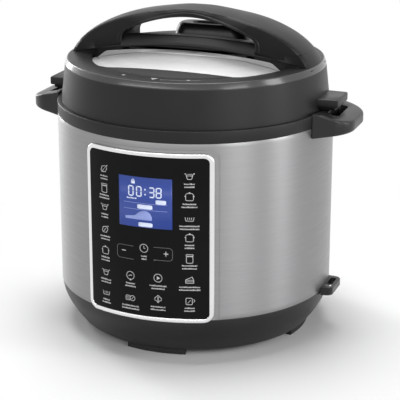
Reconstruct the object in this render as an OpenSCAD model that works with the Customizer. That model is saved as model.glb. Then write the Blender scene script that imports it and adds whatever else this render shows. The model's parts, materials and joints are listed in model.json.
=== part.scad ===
// Electric pressure cooker: a steel drum on a black base, with a bayonet lid under an arched handle.
// Millimetres, Z up. The feet stand on Z = 0, the drum's axis is the Z axis and the panel faces -Y.

/* [Body] */
// Outer radius of the steel drum
drum_r = 138; // [136:0.5:142]
// Sheet thickness of the drum
drum_t = 0.8; // [0.6:0.1:1]
// Height of the steel drum from edge to edge
drum_h = 173.6; // [166:0.2:180]
// Height of the drum's lower edge above the table
base_h = 44.8; // [43:0.2:50]
// How much smaller the base is in radius at its floor than the drum
base_taper = 19.7; // [17:0.1:22]
// Wall thickness of the base moulding
base_t = 2.6; // [2:0.1:3]
// Height of the feet
foot_h = 6; // [4.5:0.5:8]
// Angle that each foot covers
foot_angle = 30; // [20:1:40]
// Height of the black ring above the drum
ring_h = 11.9; // [11.5:0.1:14]
// Width of the ring's rim seen from above
rim_w = 4; // [3:0.1:4.5]

/* [Side handles] */
// How far the handles stand out from the drum
ear_out = 30; // [26:0.5:34]
// Width of a side handle at its tip
ear_tip_w = 66; // [60:1:72]
// Width of a side handle at the drum
ear_root_w = 84; // [78:1:92]
// Height of a side handle at its tip
ear_tip_h = 11; // [9:0.5:13]
// Height of a side handle at the drum
ear_root_h = 22; // [20:0.5:23]
// How far a handle's underside rises towards its tip
ear_rise = 4; // [3:0.5:6]
// Wall thickness round the socket in a side handle
ear_wall = 4; // [3:0.5:5]

/* [Control panel] */
// Width of the chromed frame, straight across
panel_w = 128; // [120:1:134]
// Height of bare drum between the frame and the ring
panel_top_gap = 8.9; // [8.5:0.1:16]
// Width of the frame's band
panel_band = 4.2; // [3:0.1:6]
// Corner radius of the frame
panel_corner = 9; // [7:0.5:12]
// How far the frame stands proud of the drum
panel_proud = 3; // [2.4:0.1:4]
// How far the glass lies below the frame's face
glass_sink = 0.9; // [0.5:0.1:1.2]
// How far the panel reaches below the drum's edge
panel_drop = 1.8; // [1:0.1:2.5]

/* [Inner pot] */
// Space between the inner pot and the drum's outside
pot_space = 28; // [27:0.5:32]
// Wall thickness of the inner pot
pot_t = 0.9; // [0.8:0.1:1.5]
// How far the pot's rim stands out from its wall
pot_rim_out = 6; // [4:0.5:7]
// How much smaller the heating plate is in radius than the pot
plate_inset = 18; // [14:1:24]
// Thickness of the heating plate
plate_t = 9; // [7:0.5:11]
// Outer radius of the sensor button in the plate
sensor_r = 12; // [10:0.5:14]
// Travel of the sensor button
sensor_travel = 2; // [1:0.5:3]

/* [Bayonet] */
// Number of lugs round the lid
lug_count = 6; // [5:1:8]
// Space between the pressure lid's skirt and the drum's outside
skirt_space = 18.8; // [18:0.1:19.4]
// How far the lid's lugs stand out from its skirt
lug_out = 4.8; // [4:0.1:5]
// Thickness of the locking collar
collar_t = 2; // [1.5:0.1:2.5]
// Sheet thickness of the pressure lid
steel_lid_t = 1.2; // [1:0.1:1.5]

/* [Lid] */
// Height of the lid's tapered side above the ring
lid_side_h = 37.7; // [34:0.1:42]
// Height of the bevel round the lid's top
bevel_h = 5; // [4:0.1:6]
// How much the lid's side leans in towards its top
lid_lean = 4.4; // [3:0.1:6]
// Width of the lid's flat rim round the two windows
window_rim = 30.5; // [28:0.5:35]
// Half the width of the bridge between the windows
bridge_half = 27; // [26:0.5:30]
// Wall thickness of the lid cover
cover_t = 2.6; // [2:0.1:3]
// Width of the tab that reaches into the front window
tab_w = 110; // [96:1:116]
// How far the lid's fins stand out from its side
fin_out = 22; // [18:0.5:26]
// Width of a fin
fin_w = 38; // [32:1:42]
// Thickness of a fin
fin_t = 8; // [7:0.1:9]

/* [Lid handle] */
// Height of the arch's crown above the ring
arch_h = 91.2; // [88:0.1:96]
// How far the arch's outer curve ends outside the lid's top edge
arch_over = 0.5; // [-2:0.5:3]
// Thickness of the arch at its crown
arch_t = 8; // [7:0.1:10]
// Width of the arch at its posts
arch_w = 50; // [44:1:52]
// Width of the arch at its crown
arch_waist = 40; // [34:1:46]
// How far each post's inner face lies inside the end of the arch's curve
post_inset = 61; // [56:0.5:64]

/* [Steam parts] */
// Length of the steam knob
knob_l = 78; // [70:1:80]
// Width of the steam knob
knob_w = 34; // [30:1:36]
// Height of the steam knob
knob_h = 17; // [11:0.5:18]
// Outer radius of the exhaust pipe
pipe_r = 5; // [4:0.1:6]
// Radius of the float valve's pin
float_r = 3; // [2.5:0.1:3.5]
// Travel of the float valve
float_travel = 4; // [3:0.5:4]

/* [Fittings] */
// How far the spoon loop stands out from the drum
loop_out = 11; // [9:0.5:15]
// Width of the spoon loop
loop_w = 36; // [32:1:42]
// Height of the spoon loop
loop_h = 8; // [6:0.5:9]
// Width of the condensation cup
cup_w = 48; // [40:1:54]
// Height of the condensation cup
cup_h = 47; // [40:1:52]
// Depth of the condensation cup from front to back
cup_d = 17; // [14:0.5:20]

/* [Hidden] */
$fn = 128;

// Clearances: beside a fixed neighbour, beside a moving one, round a running shaft, above a seat
fit = 0.2;
gap = 0.5;
run = 0.05;
seat = 0.3;
cut = 1;

// Heights of the body, from the table up
base_z0 = foot_h;
base_floor_t = 5;
drum_z0 = base_h;
drum_z1 = drum_z0 + drum_h;
ring_z1 = drum_z1 + ring_h;
collar_rise = 2.5;
collar_z0 = drum_z1 + collar_rise;
shelf_z0 = collar_z0 + collar_t;
shelf_t = 3;
shelf_z1 = shelf_z0 + shelf_t;

// Radii of the body, from the drum inwards
base_floor_r = drum_r - base_taper;
pot_r = drum_r - pot_space;
pot_rim_r = pot_r + pot_rim_out;
plate_r = pot_r - plate_inset;
skirt_r = drum_r - skirt_space;
drum_in = drum_r - drum_t;
base_top_r = drum_r - 0.5;
lip_h = 5;
lip_t = 2.4;
ring_in = drum_r - rim_w;
plug_in = drum_in - fit - 2.2;
plug_h = 8;
collar_out = ring_in - fit;
mouth_r = skirt_r + lug_out + 2;
collar_in = skirt_r + lug_out + 1;
collar_lug_in = skirt_r + 1;
well_r = pot_rim_r + 3;
liner_t = 1;
well_z = base_h + 1.5;
well_hole_r = plate_r - 12;
upper_well_r = mouth_r + 1;
upper_well_z = collar_z0 - 14;

// Bottom cover
cover_r = base_floor_r - 14;
cover_plate_t = 2;
cover_ledge = 8;
vent_w = 3;
vent_x = 26;
vent_pitch = 8;
vent_margin = 22;
vent_count = floor((cover_r - vent_margin - vent_x) / vent_pitch);
base_screw_count = 4;
base_screw_at = cover_r - cover_ledge / 2;
base_screw_r = 1.7;
base_screw_head_r = 3;
base_screw_head_h = 1.6;
base_screw_l = 9;

// Feet
foot_r1 = base_floor_r - 1.5;
foot_r0 = foot_r1 - 11;

// Heating plate, sensor and pot
plate_z0 = well_z + liner_t;
plate_z1 = plate_z0 + plate_t;
pot_z0 = plate_z1 + seat;
pot_z1 = collar_z0 - 5.4;
pot_floor_curve = 12;
sensor_hole_r = sensor_r + gap;
sensor_cup_t = 1.5;
sensor_cup_r = sensor_hole_r + sensor_cup_t + 1;
sensor_cup_drop = 14;
sensor_cup_z = plate_z0 - sensor_cup_drop - sensor_travel;
sensor_top_t = 5;
sensor_stem_r = 3;
spring_wire = 0.6;
spring_r = 6.5;
spring_turns = 5;
plate_edge = 2;

// Pressure switch and thermal fuse, under the plate
switch_y = plate_r / 2;
switch_r = 16;
switch_h = 8;
switch_plug = 8;
switch_plug_h = 4;
fuse_x = 45;
fuse_l = 22;
fuse_r = 3;
fuse_clip_w = 10;
fuse_clip_l = 26;
fuse_clip_t = 2;

// Panel
panel_h = drum_h + panel_drop - panel_top_gap;
panel_z0 = drum_z0 - panel_drop;
panel_z = panel_z0 + panel_h / 2;
panel_r0 = drum_r + 0.1;
panel_r1 = drum_r + panel_proud;
glass_r1 = panel_r1 - glass_sink;
glass_w = panel_w - 2 * panel_band - 2 * fit;
glass_h = panel_h - 2 * panel_band - 2 * fit;
window_w = glass_w - 20;
window_h = glass_h - 20;
step_margin = 3.4;
step_d = 0.35;

// Display, boards
lcd_w = 58;
lcd_h = 52;
lcd_d = 9;
lcd_y = -sqrt(pow(panel_r0, 2) - pow(lcd_w / 2, 2)) + gap;
lcd_z = panel_z + panel_h * 0.2;
board_w = 86;
board_h = 130;
board_t = 1.6;
board_stud_r = 2.5;
board_stud_h = 4;
board_stud_inset = 5;
power_w = 70;
power_l = 90;
power_room = 66.3;
power_x = power_room - base_floor_r;
post_h = 10;
post_r = 3;
relay = [22, 24, 14];
transformer = [18, 14, 12];
heat_sink = [24, 10, 9];
capacitor_h = 10;
capacitor_r = [6, 5];
board_margin = 7;

// Mains inlet
inlet_w = 28;
inlet_h = 20;
inlet_d = 22;
inlet_wall = 1.8;
inlet_z = 24;
inlet_y1 = base_radius(inlet_z - inlet_h / 2) + 1.5;
pin_w = 2;
pin_h = 4;
pin_l = 14;
pin_tail = 4;
pin_pitch = 7;
pin_lift = 3;
inlet_back_t = 3;
inlet_rim = 4;
inlet_boss_d = 16;

// Spoon loop
loop_y = 6;
loop_z0 = base_h - 4.6;
loop_wall = 3.4;
loop_seat = 1.6;
loop_reach = drum_r + loop_out;
loop_slot_d = loop_out - loop_wall - loop_seat;
loop_slot_margin = 11;
loop_corner = 5;

// Side handles
ear_reach = drum_r + ear_out;
ear_z0 = drum_z1 - 9;
ear_top_z = ear_z0 + ear_root_h;
ear_corner = 24;
socket_w = fin_w + 3;
socket_x0 = drum_r + ear_wall;
socket_x1 = socket_x0 + fin_t + 2;
socket_z0 = ear_z0 + ear_rise + 3;

// Condensation cup and its bracket
bracket_w = 30;
bracket_h = 20;
bracket_drop = 18.4;
bracket_z0 = drum_z1 - bracket_drop - bracket_h;
bracket_floor_t = 3;
bracket_plate_y = drum_r + 3;
upstand_t = 2;
upstand_y = bracket_plate_y + 3.5;
cup_wall = 1.6;
cup_corner = 4;
cup_stands_up = 6;
hook_t = 1.6;
hook_drop = 8;
cup_y = upstand_y + upstand_t + gap;
cup_z1 = bracket_z0 + bracket_h + cup_stands_up;

// Lid: the pressure lid's dome and the cover's heights
lid_z0 = shelf_z1 + gap;
lid_r0 = ring_in - gap;
lid_z1 = ring_z1 + lid_side_h;
lid_r1 = lid_r0 + 0.4 - lid_lean;
lid_z2 = lid_z1 + bevel_h;
lid_r2 = lid_r1 - 2;
window_r = lid_r2 - window_rim;
lip_z = lid_z2 - 2;
lip_gap = 0.4;
lip_edge_t = 2;
dome_edge_z = lip_z - lip_edge_t - lip_gap;
dome_rise = 11.7;
dome_top = dome_edge_z + dome_rise;
shoulder_h = 18.6;
skirt_z0 = collar_z0 - 4.9;
lug_t = 2.7;
lug_angle = 360 / lug_count * 0.42;
seal_r1 = skirt_r - steel_lid_t - 0.6;
seal_r0 = seal_r1 - 13;
seal_z0 = pot_z1 + seat;
seal_h = 8.5;
rack_wire = 1.2;
rack_r = seal_r0 - rack_wire - seat;
rack_z = seal_z0 + seal_h / 2;
rack_leg_r = rack_wire - 0.3;
rack_legs = 6;

// Lid cover: deck, ridge and fins
fin_reach = lid_r1 + fin_out;
deck_z0 = dome_top + gap;
deck_z1 = deck_z0 + 3.7;
pedestal_z = deck_z1 + 0.5;
ridge_back = -7;
ridge_top_y = -20;
ridge_h = 10.7;
ridge_lip = 2.5;
ridge_sag = 3.2;
tab_reach = 15.5;
tab_bow = 600;
fin_z0 = ring_z1 + 4.8;

// Arch
arch_a = lid_r1 + arch_over;
post_x = arch_a - post_inset;
arch_top = ring_z1 + arch_h;
arch_b = 62.5;
arch_cz = arch_top - arch_b;
arch_under_r = 140;
arch_under_cz = arch_top - arch_t - arch_under_r;
arch_corner = 9;
handle_screw_x = post_x + 23;
handle_screw_y = 14;
handle_screw_r = 2;
handle_screw_head_r = 4;
handle_screw_head_h = 3;
handle_screw_l = 18;
handle_screw_sink = 6;
handle_screw_hole = handle_screw_l - handle_screw_sink + 1;

// Steam parts
knob_x = 10;
knob_y = 22;
knob_z0 = deck_z1 + gap;
pipe_bore_r = 2;
pipe_flange_r = pipe_r + 3;
pipe_flange_t = 2.5;
pipe_tail = 9;
pipe_z1 = knob_z0 + knob_h - 5;
pipe_z0 = dome_at(norm([knob_x, knob_y])) - steel_lid_t - pipe_tail;
shield_r = 14;
shield_h = 8;
float_x = -46;
float_y = 12;
float_z = dome_at(norm([float_x, float_y]));
float_cap_r = float_r + 2;
float_flange_r = float_r + 3;
float_flange_z = float_z - steel_lid_t - float_travel - 5.6;

// Height of the pressure lid's dome at a radius
function dome_at(r) = dome_top - dome_rise * pow(r / window_r, 2);

// Outer radius of the base's bowl at a height
function base_radius(z) =
    base_floor_r + (base_top_r - base_floor_r) * sin(90 * (z - base_z0) / (base_h - base_z0));

// Corners of a rectangle with round corners, centred on the origin
function rounded_rect(w, h, r, n = 8) = [
    for (c = [[1, 1, 0], [-1, 1, 90], [-1, -1, 180], [1, -1, 270]])
        for (i = [0 : n])
            [c[0] * (w / 2 - r) + r * cos(c[2] + 90 * i / n),
             c[1] * (h / 2 - r) + r * sin(c[2] + 90 * i / n)]
];

// Outline of a bar with round ends, centred on the origin
function stadium(l, w, n = 20) = [
    for (side = [0, 1])
        for (i = [0 : n])
            let (a = -90 + 180 * side + 180 * i / n)
                [(1 - 2 * side) * (l - w) / 2 + w / 2 * cos(a), w / 2 * sin(a)]
];

// Points of the arch's outer ellipse from one height down to another, on one side
function arch_curve(x0, x1, n) = [
    for (i = [0 : n])
        let (x = x0 + (x1 - x0) * i / n)
            [x, arch_cz + arch_b * sqrt(1 - pow(x / arch_a, 2))]
];

// Half span of the arch's outer ellipse at a height
function arch_span(z) = arch_a * sqrt(1 - pow((z - arch_cz) / arch_b, 2));

// Underside of the arch, from the middle to its round corner and down the post
function arch_underside(n = 8) =
    let (corner_x = post_x - arch_corner,
         far = arch_under_r - arch_corner,
         turn = asin(corner_x / far),
         corner_z = arch_under_cz + far * cos(turn))
    concat(
        [for (i = [0 : n]) let (a = turn * i / n)
            [arch_under_r * sin(a), arch_under_cz + arch_under_r * cos(a)]],
        [for (i = [1 : n]) let (a = turn + (90 - turn) * i / n)
            [corner_x + arch_corner * sin(a), corner_z + arch_corner * cos(a)]],
        [[post_x, pedestal_z]]);

// Half width of the arch at a distance from its crown
function arch_half(x) = arch_w / 2 + 1 - (arch_w / 2 + 1 - arch_waist / 2) * pow(cos(90 * x / arch_a), 4);

function mirrored(points) = [for (i = [len(points) - 1 : -1 : 0]) [-points[i][0], points[i][1]]];

// Outline in X and Z, pushed out along Y on both sides
module across(width) {
    rotate([90, 0, 0]) translate([0, 0, -width / 2]) linear_extrude(width) children();
}

module tube(r1, r0, z0, z1) {
    translate([0, 0, z0]) difference() {
        cylinder(r = r1, h = z1 - z0);
        translate([0, 0, -cut]) cylinder(r = r0, h = z1 - z0 + 2 * cut);
    }
}

module around(count, radius, start = 0) {
    for (i = [0 : count - 1]) rotate([0, 0, start + 360 * i / count]) translate([radius, 0, 0]) children();
}

// Block that wraps the axis between two radii over an angle centred on +X
module arc_block(r0, r1, z0, h, angle) {
    rotate([0, 0, -angle / 2]) rotate_extrude(angle = angle)
        translate([r0, z0]) square([r1 - r0, h]);
}

// ---------------------------------------------------------------- base

module base() {
    steps = 14;
    color("#1d1e20") difference() {
        union() {
            rotate_extrude() polygon(concat(
                [for (i = [0 : steps])
                    let (z = base_z0 + (base_h - base_z0) * i / steps) [base_radius(z), z]],
                [[drum_in - fit, base_h], [drum_in - fit, base_h + lip_h],
                 [drum_in - fit - lip_t, base_h + lip_h]],
                [for (i = [steps : -1 : 3])
                    let (z = base_z0 + (base_h - base_z0) * i / steps) [base_radius(z) - base_t - 0.4, z]],
                [[base_floor_r - base_t, base_z0 + base_floor_t],
                 [cover_r - cover_ledge, base_z0 + base_floor_t],
                 [cover_r - cover_ledge, base_z0 + cover_plate_t],
                 [cover_r + fit, base_z0 + cover_plate_t],
                 [cover_r + fit, base_z0]]));
            inlet_boss();
        }
        translate([-inlet_w / 2 - fit, 0, inlet_z - inlet_h / 2 - fit])
            cube([inlet_w + 2 * fit, drum_r * 2, inlet_h + 2 * fit]);
        around(base_screw_count, base_screw_at, 45)
            cylinder(r = base_screw_r + run, h = base_z0 + base_floor_t + cut);
    }
}

// Flat-faced surround that carries the mains inlet at the back
module inlet_boss() {
    boss_w = inlet_w + 2 * inlet_rim;
    boss_h = inlet_h + 1.5 * inlet_rim;
    intersection() {
        translate([-boss_w / 2, base_radius(inlet_z) - inlet_boss_d, inlet_z - boss_h / 2])
            cube([boss_w, inlet_y1 - base_radius(inlet_z) + inlet_boss_d, boss_h]);
        cylinder(r = drum_r, h = base_h);
    }
}

module feet() {
    chamfer = 1;
    color("#2a2a2b") around(4, 0, 0) rotate([0, 0, -foot_angle / 2]) rotate_extrude(angle = foot_angle)
        polygon([[foot_r0 + chamfer, 0], [foot_r1 - chamfer, 0], [foot_r1, chamfer],
                 [foot_r1, foot_h], [foot_r0, foot_h], [foot_r0, chamfer]]);
}

module bottom_cover() {
    color("#8d8f91") difference() {
        union() {
            translate([0, 0, base_z0]) cylinder(r = cover_r, h = cover_plate_t);
            for (x = [-1, 1], y = [-1, 1])
                translate([power_x + x * (power_w / 2 - board_margin),
                    y * (power_l / 2 - board_margin), base_z0])
                    cylinder(r = post_r, h = cover_plate_t + post_h);
        }
        for (i = [0 : vent_count - 1])
            let (x = vent_x + i * vent_pitch, l = sqrt(pow(cover_r - vent_margin, 2) - x * x))
                translate([x, -l / 2, base_z0 - cut]) cube([vent_w, l, cover_plate_t + 2 * cut]);
        around(base_screw_count, base_screw_at, 45) translate([0, 0, base_z0 - cut])
            cylinder(r = base_screw_r + fit, h = cover_plate_t + 2 * cut);
    }
}

module base_screws() {
    color("#b7babd") around(base_screw_count, base_screw_at, 45) {
        translate([0, 0, base_z0 - base_screw_head_h]) difference() {
            cylinder(r = base_screw_head_r, h = base_screw_head_h);
            translate([0, 0, -cut]) cylinder(r = 1.2, h = cut + 1, $fn = 6);
        }
        translate([0, 0, base_z0]) cylinder(r = base_screw_r, h = base_screw_l);
    }
}

// ---------------------------------------------------------------- drum and ring

module steel_shell() {
    color("#b9bbbd") difference() {
        tube(drum_r, drum_in, drum_z0, drum_z1);
        translate([0, -drum_r / 2, panel_z]) rotate([90, 0, 0])
            linear_extrude(drum_r) polygon(rounded_rect(window_w, window_h, 6));
        // formed step round the panel
        difference() {
            translate([0, -drum_r / 2, panel_z + step_margin / 2 + panel_drop / 2]) rotate([90, 0, 0])
                linear_extrude(drum_r) polygon(rounded_rect(panel_w + 2 * step_margin,
                    panel_h - panel_drop + step_margin, panel_corner + step_margin));
            cylinder(r = drum_r - step_d, h = 2 * drum_z1);
        }
    }
}

module top_ring() {
    round_r = 0.8;
    color("#232426") rotate_extrude() polygon([
        [ring_in, ring_z1], [drum_r - round_r, ring_z1], [drum_r, ring_z1 - round_r],
        [drum_r, drum_z1], [drum_in - fit, drum_z1], [drum_in - fit, drum_z1 - plug_h],
        [plug_in, drum_z1 - plug_h], [plug_in, shelf_z0], [mouth_r, shelf_z0],
        [mouth_r, shelf_z1], [ring_in, shelf_z1]]);
}

// Ear-shaped handle with a socket that parks the lid's fin
module side_handle() {
    slope = atan((ear_root_h - ear_tip_h - ear_rise) / ear_out);
    under_slope = atan(ear_rise / ear_out);
    difference() {
        translate([0, 0, ear_z0]) linear_extrude(ear_root_h) difference() {
            polygon(concat(
                [[drum_r * 0.9, -ear_root_w / 2]],
                [for (i = [0 : 8]) [ear_reach - ear_corner + ear_corner * sin(90 * i / 8),
                    -ear_tip_w / 2 + ear_corner - ear_corner * cos(90 * i / 8)]],
                [for (i = [0 : 8]) [ear_reach - ear_corner + ear_corner * cos(90 * i / 8),
                    ear_tip_w / 2 - ear_corner + ear_corner * sin(90 * i / 8)]],
                [[drum_r * 0.9, ear_root_w / 2]]));
            circle(r = drum_r + 0.1);
        }
        translate([drum_r, -ear_root_w, ear_top_z]) rotate([0, slope, 0])
            cube([ear_reach, 2 * ear_root_w, ear_root_h]);
        translate([drum_r, -ear_root_w, ear_z0]) rotate([0, -under_slope, 0])
            translate([0, 0, -ear_root_h]) cube([ear_reach, 2 * ear_root_w, ear_root_h]);
        translate([(socket_x0 + socket_x1) / 2, 0, socket_z0])
            linear_extrude(ear_root_h) polygon(rounded_rect(socket_x1 - socket_x0, socket_w, 3));
    }
}

module side_handle_right() { color("#202123") side_handle(); }

module side_handle_left() { color("#202123") mirror([1, 0, 0]) side_handle(); }

// ---------------------------------------------------------------- control panel

// Curved plate on the drum's front: an outline between two radii
module curved_plate(r0, r1, points) {
    intersection() {
        tube(r1, r0, panel_z0 - cut, panel_z0 + panel_h + cut);
        translate([0, -drum_r / 2, panel_z]) rotate([90, 0, 0]) linear_extrude(drum_r) polygon(points);
    }
}

module panel_frame() {
    color("#d9dcdf") difference() {
        curved_plate(panel_r0, panel_r1, rounded_rect(panel_w, panel_h, panel_corner));
        translate([0, -drum_r / 2, panel_z]) rotate([90, 0, 0]) linear_extrude(drum_r)
            polygon(rounded_rect(panel_w - 2 * panel_band, panel_h - 2 * panel_band,
                panel_corner - panel_band));
    }
}

module panel_glass() {
    color("#0b0c0e")
        curved_plate(panel_r0, glass_r1, rounded_rect(glass_w, glass_h, panel_corner - panel_band));
}

module display_module() {
    color("#31489c") translate([-lcd_w / 2, lcd_y, lcd_z - lcd_h / 2]) cube([lcd_w, lcd_d, lcd_h]);
}

module control_board() {
    board_y = lcd_y + lcd_d;
    color("#1f6b3a") {
        translate([-board_w / 2, board_y, panel_z - board_h / 2]) cube([board_w, board_t, board_h]);
        for (x = [-1, 1], z = [-1, 1])
            translate([x * (board_w / 2 - board_stud_inset), board_y,
                panel_z + z * (board_h / 2 - board_stud_inset)])
                rotate([90, 0, 0]) cylinder(r = board_stud_r, h = board_stud_h);
    }
}

// ---------------------------------------------------------------- electrics in the base

module power_board() {
    top = base_z0 + cover_plate_t + post_h;
    color("#3b7a3f") translate([power_x, 0, top]) {
        translate([-power_w / 2, -power_l / 2, 0]) cube([power_w, power_l, board_t]);
        translate([board_margin - power_w / 2, board_margin - power_l / 2, board_t]) cube(relay);
        translate([board_margin - power_w / 2, power_l / 9, board_t]) cube(transformer);
        translate([0, -power_l * 0.3, board_t]) cylinder(r = capacitor_r[0], h = capacitor_h);
        translate([power_w / 5, -power_l / 3, board_t]) cylinder(r = capacitor_r[1], h = capacitor_h);
        translate([0, power_l * 0.3, board_t]) cube(heat_sink);
    }
}

module mains_inlet() {
    color("#161718") difference() {
        translate([-inlet_w / 2, inlet_y1 - inlet_d, inlet_z - inlet_h / 2])
            cube([inlet_w, inlet_d, inlet_h]);
        translate([-inlet_w / 2 + inlet_wall, inlet_y1 - inlet_d + inlet_back_t,
            inlet_z - inlet_h / 2 + inlet_wall])
            cube([inlet_w - 2 * inlet_wall, inlet_d, inlet_h - 2 * inlet_wall]);
        inlet_pin_blades(fit);
    }
}

// Three flat blades, the middle one higher, grown by a clearance
module inlet_pin_blades(grow) {
    for (i = [-1 : 1])
        translate([i * pin_pitch - pin_w / 2 - grow, inlet_y1 - inlet_d - pin_tail,
            inlet_z - pin_h / 2 - grow + (i == 0 ? pin_lift : 0)])
            cube([pin_w + 2 * grow, pin_l + pin_tail, pin_h + 2 * grow]);
}

module inlet_pins() {
    color("#c8a651") inlet_pin_blades(0);
}

module spoon_loop() {
    x0 = drum_r - 6;
    corner = loop_corner;
    color("#1b1c1e") difference() {
        translate([0, 0, loop_z0]) linear_extrude(loop_h) polygon([
            [x0, loop_y - loop_w / 2 - 2], [loop_reach - corner, loop_y - loop_w / 2],
            [loop_reach, loop_y - loop_w / 2 + corner], [loop_reach, loop_y + loop_w / 2 - corner],
            [loop_reach - corner, loop_y + loop_w / 2], [x0, loop_y + loop_w / 2 + 2]]);
        cylinder(r = drum_r + 0.1, h = drum_z1);
        translate([loop_reach - loop_wall - loop_slot_d / 2, loop_y, 0]) rotate([0, 0, 90])
            linear_extrude(drum_z1) polygon(rounded_rect(loop_w - loop_slot_margin, loop_slot_d, 2));
    }
}

// ---------------------------------------------------------------- well, collar and heater

module liner() {
    r = well_r + liner_t;
    ur = upper_well_r + liner_t;
    top = collar_z0;
    color("#c4c6c8") rotate_extrude() polygon([
        [well_hole_r, well_z], [r, well_z], [r, upper_well_z], [ur, upper_well_z + 4],
        [ur, top - liner_t], [collar_out, top - liner_t], [collar_out, top], [upper_well_r, top],
        [upper_well_r, upper_well_z + 4.4], [well_r, upper_well_z + 0.4],
        [well_r, well_z + liner_t], [well_hole_r, well_z + liner_t]]);
}

module locking_collar() {
    color("#a9acaf") union() {
        tube(collar_out, collar_in, collar_z0, collar_z0 + collar_t);
        for (i = [0 : lug_count - 1]) rotate([0, 0, 360 / lug_count * i])
            arc_block(collar_lug_in, collar_in + cut, collar_z0, collar_t, lug_angle);
    }
}

module heating_plate() {
    color("#9da0a3") rotate_extrude() polygon([
        [sensor_hole_r, plate_z0], [plate_r, plate_z0], [plate_r, plate_z1 - plate_edge],
        [plate_r - plate_edge, plate_z1], [sensor_hole_r, plate_z1]]);
}

module sensor_cup() {
    color("#8a8c8f") difference() {
        translate([0, 0, sensor_cup_z]) cylinder(r = sensor_cup_r, h = plate_z0 - sensor_cup_z);
        translate([0, 0, sensor_cup_z + sensor_cup_t])
            cylinder(r = sensor_cup_r - sensor_cup_t, h = plate_z0);
        translate([0, 0, sensor_cup_z - cut]) cylinder(r = sensor_stem_r + run, h = 3 * cut);
    }
}

module sensor_button() {
    top = plate_z1;
    color("#d2d4d6") {
        translate([0, 0, top - sensor_top_t]) cylinder(r = sensor_r, h = sensor_top_t);
        translate([0, 0, sensor_cup_z - 2])
            cylinder(r = sensor_stem_r, h = top - sensor_top_t - sensor_cup_z + 2);
    }
}

// Round wire that climbs a helix, closed at both ends
module coil(radius, wire, turns, height, sides = 8, per_turn = 18) {
    rings = turns * per_turn;
    points = [
        for (i = [0 : rings]) for (j = [0 : sides - 1])
            let (a = 360 * i / per_turn, b = 360 * j / sides, r = radius + wire * cos(b))
                [r * cos(a), r * sin(a), wire + (height - 2 * wire) * i / rings + wire * sin(b)]
    ];
    walls = [
        for (i = [0 : rings - 1]) for (j = [0 : sides - 1])
            let (k = (j + 1) % sides)
                [i * sides + j, (i + 1) * sides + j, (i + 1) * sides + k, i * sides + k]
    ];
    first = [for (j = [0 : sides - 1]) j];
    last = [for (j = [sides - 1 : -1 : 0]) rings * sides + j];
    polyhedron(points, concat(walls, [first], [last]));
}

module sensor_spring() {
    z0 = sensor_cup_z + sensor_cup_t + 0.1;
    color("#c9cbcd") translate([0, 0, z0])
        coil(spring_r, spring_wire, spring_turns, plate_z1 - sensor_top_t - z0 - 0.1);
}

module pressure_switch() {
    color("#77797c") translate([0, switch_y, plate_z0 - switch_h]) {
        cylinder(r = switch_r, h = switch_h);
        translate([-switch_plug / 2, -switch_plug / 2, -switch_plug_h])
            cube([switch_plug, switch_plug, switch_plug_h]);
    }
}

module thermal_fuse() {
    sink = 0.4;
    color("#d8d6cf") translate([fuse_x, 0, plate_z0 - fuse_clip_t]) {
        translate([-fuse_clip_w / 2, -fuse_clip_l / 2, 0]) cube([fuse_clip_w, fuse_clip_l, fuse_clip_t]);
        translate([0, -fuse_l / 2, sink - fuse_r]) rotate([-90, 0, 0]) cylinder(r = fuse_r, h = fuse_l);
    }
}

// ---------------------------------------------------------------- condensation cup

module collector_bracket() {
    color("#1c1d1f") difference() {
        union() {
            translate([-bracket_w / 2, drum_r - 4, bracket_z0])
                cube([bracket_w, bracket_plate_y - drum_r + 4, bracket_h]);
            translate([-bracket_w / 2, bracket_plate_y - cut, bracket_z0])
                cube([bracket_w, upstand_y - bracket_plate_y + cut + upstand_t, bracket_floor_t]);
            translate([-bracket_w / 2, upstand_y, bracket_z0])
                cube([bracket_w, upstand_t, bracket_h]);
        }
        cylinder(r = drum_r + 0.1, h = drum_z1);
    }
}

module collector_cup() {
    z0 = cup_z1 - cup_h;
    color("#cfd6da") {
        difference() {
            translate([0, cup_y + cup_d / 2, z0]) linear_extrude(cup_h)
                polygon(rounded_rect(cup_w, cup_d, cup_corner));
            translate([0, cup_y + cup_d / 2, z0 + cup_wall]) linear_extrude(cup_h)
                polygon(rounded_rect(cup_w - 2 * cup_wall, cup_d - 2 * cup_wall, cup_corner - cup_wall));
        }
        // hook that hangs over the bracket's upstand
        translate([-bracket_w / 2, upstand_y - gap - hook_t, cup_z1 - hook_t])
            cube([bracket_w, cup_y - upstand_y + gap + hook_t + cup_wall / 2, hook_t]);
        translate([-bracket_w / 2, upstand_y - gap - hook_t, cup_z1 - hook_drop])
            cube([bracket_w, hook_t, hook_drop]);
    }
}

// ---------------------------------------------------------------- inner pot

module inner_pot() {
    c = pot_floor_curve;
    n = 8;
    color("#c9ccce") rotate_extrude() polygon(concat(
        [[0, pot_z0]],
        [for (i = [0 : n]) [pot_r - c + c * sin(90 * i / n), pot_z0 + c - c * cos(90 * i / n)]],
        [[pot_r, pot_z1 - 1.6], [pot_rim_r, pot_z1 - 1.6], [pot_rim_r, pot_z1],
         [pot_r - pot_t, pot_z1]],
        [for (i = [n : -1 : 0]) [pot_r - c + (c - pot_t) * sin(90 * i / n),
            pot_z0 + c - (c - pot_t) * cos(90 * i / n)]],
        [[0, pot_z0 + pot_t]]));
}

// ---------------------------------------------------------------- lid

module sealing_ring() {
    lip = 2;
    color("#d9dadb") rotate_extrude() polygon([
        [seal_r0 + 3, seal_z0], [seal_r1, seal_z0], [seal_r1, seal_z0 + seal_h],
        [seal_r0 + 3, seal_z0 + seal_h], [seal_r0 + 3, seal_z0 + seal_h - lip],
        [seal_r1 - lip - 1, seal_z0 + seal_h - lip], [seal_r1 - lip - 1, seal_z0 + lip],
        [seal_r0 + 3, seal_z0 + lip]]);
}

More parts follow.
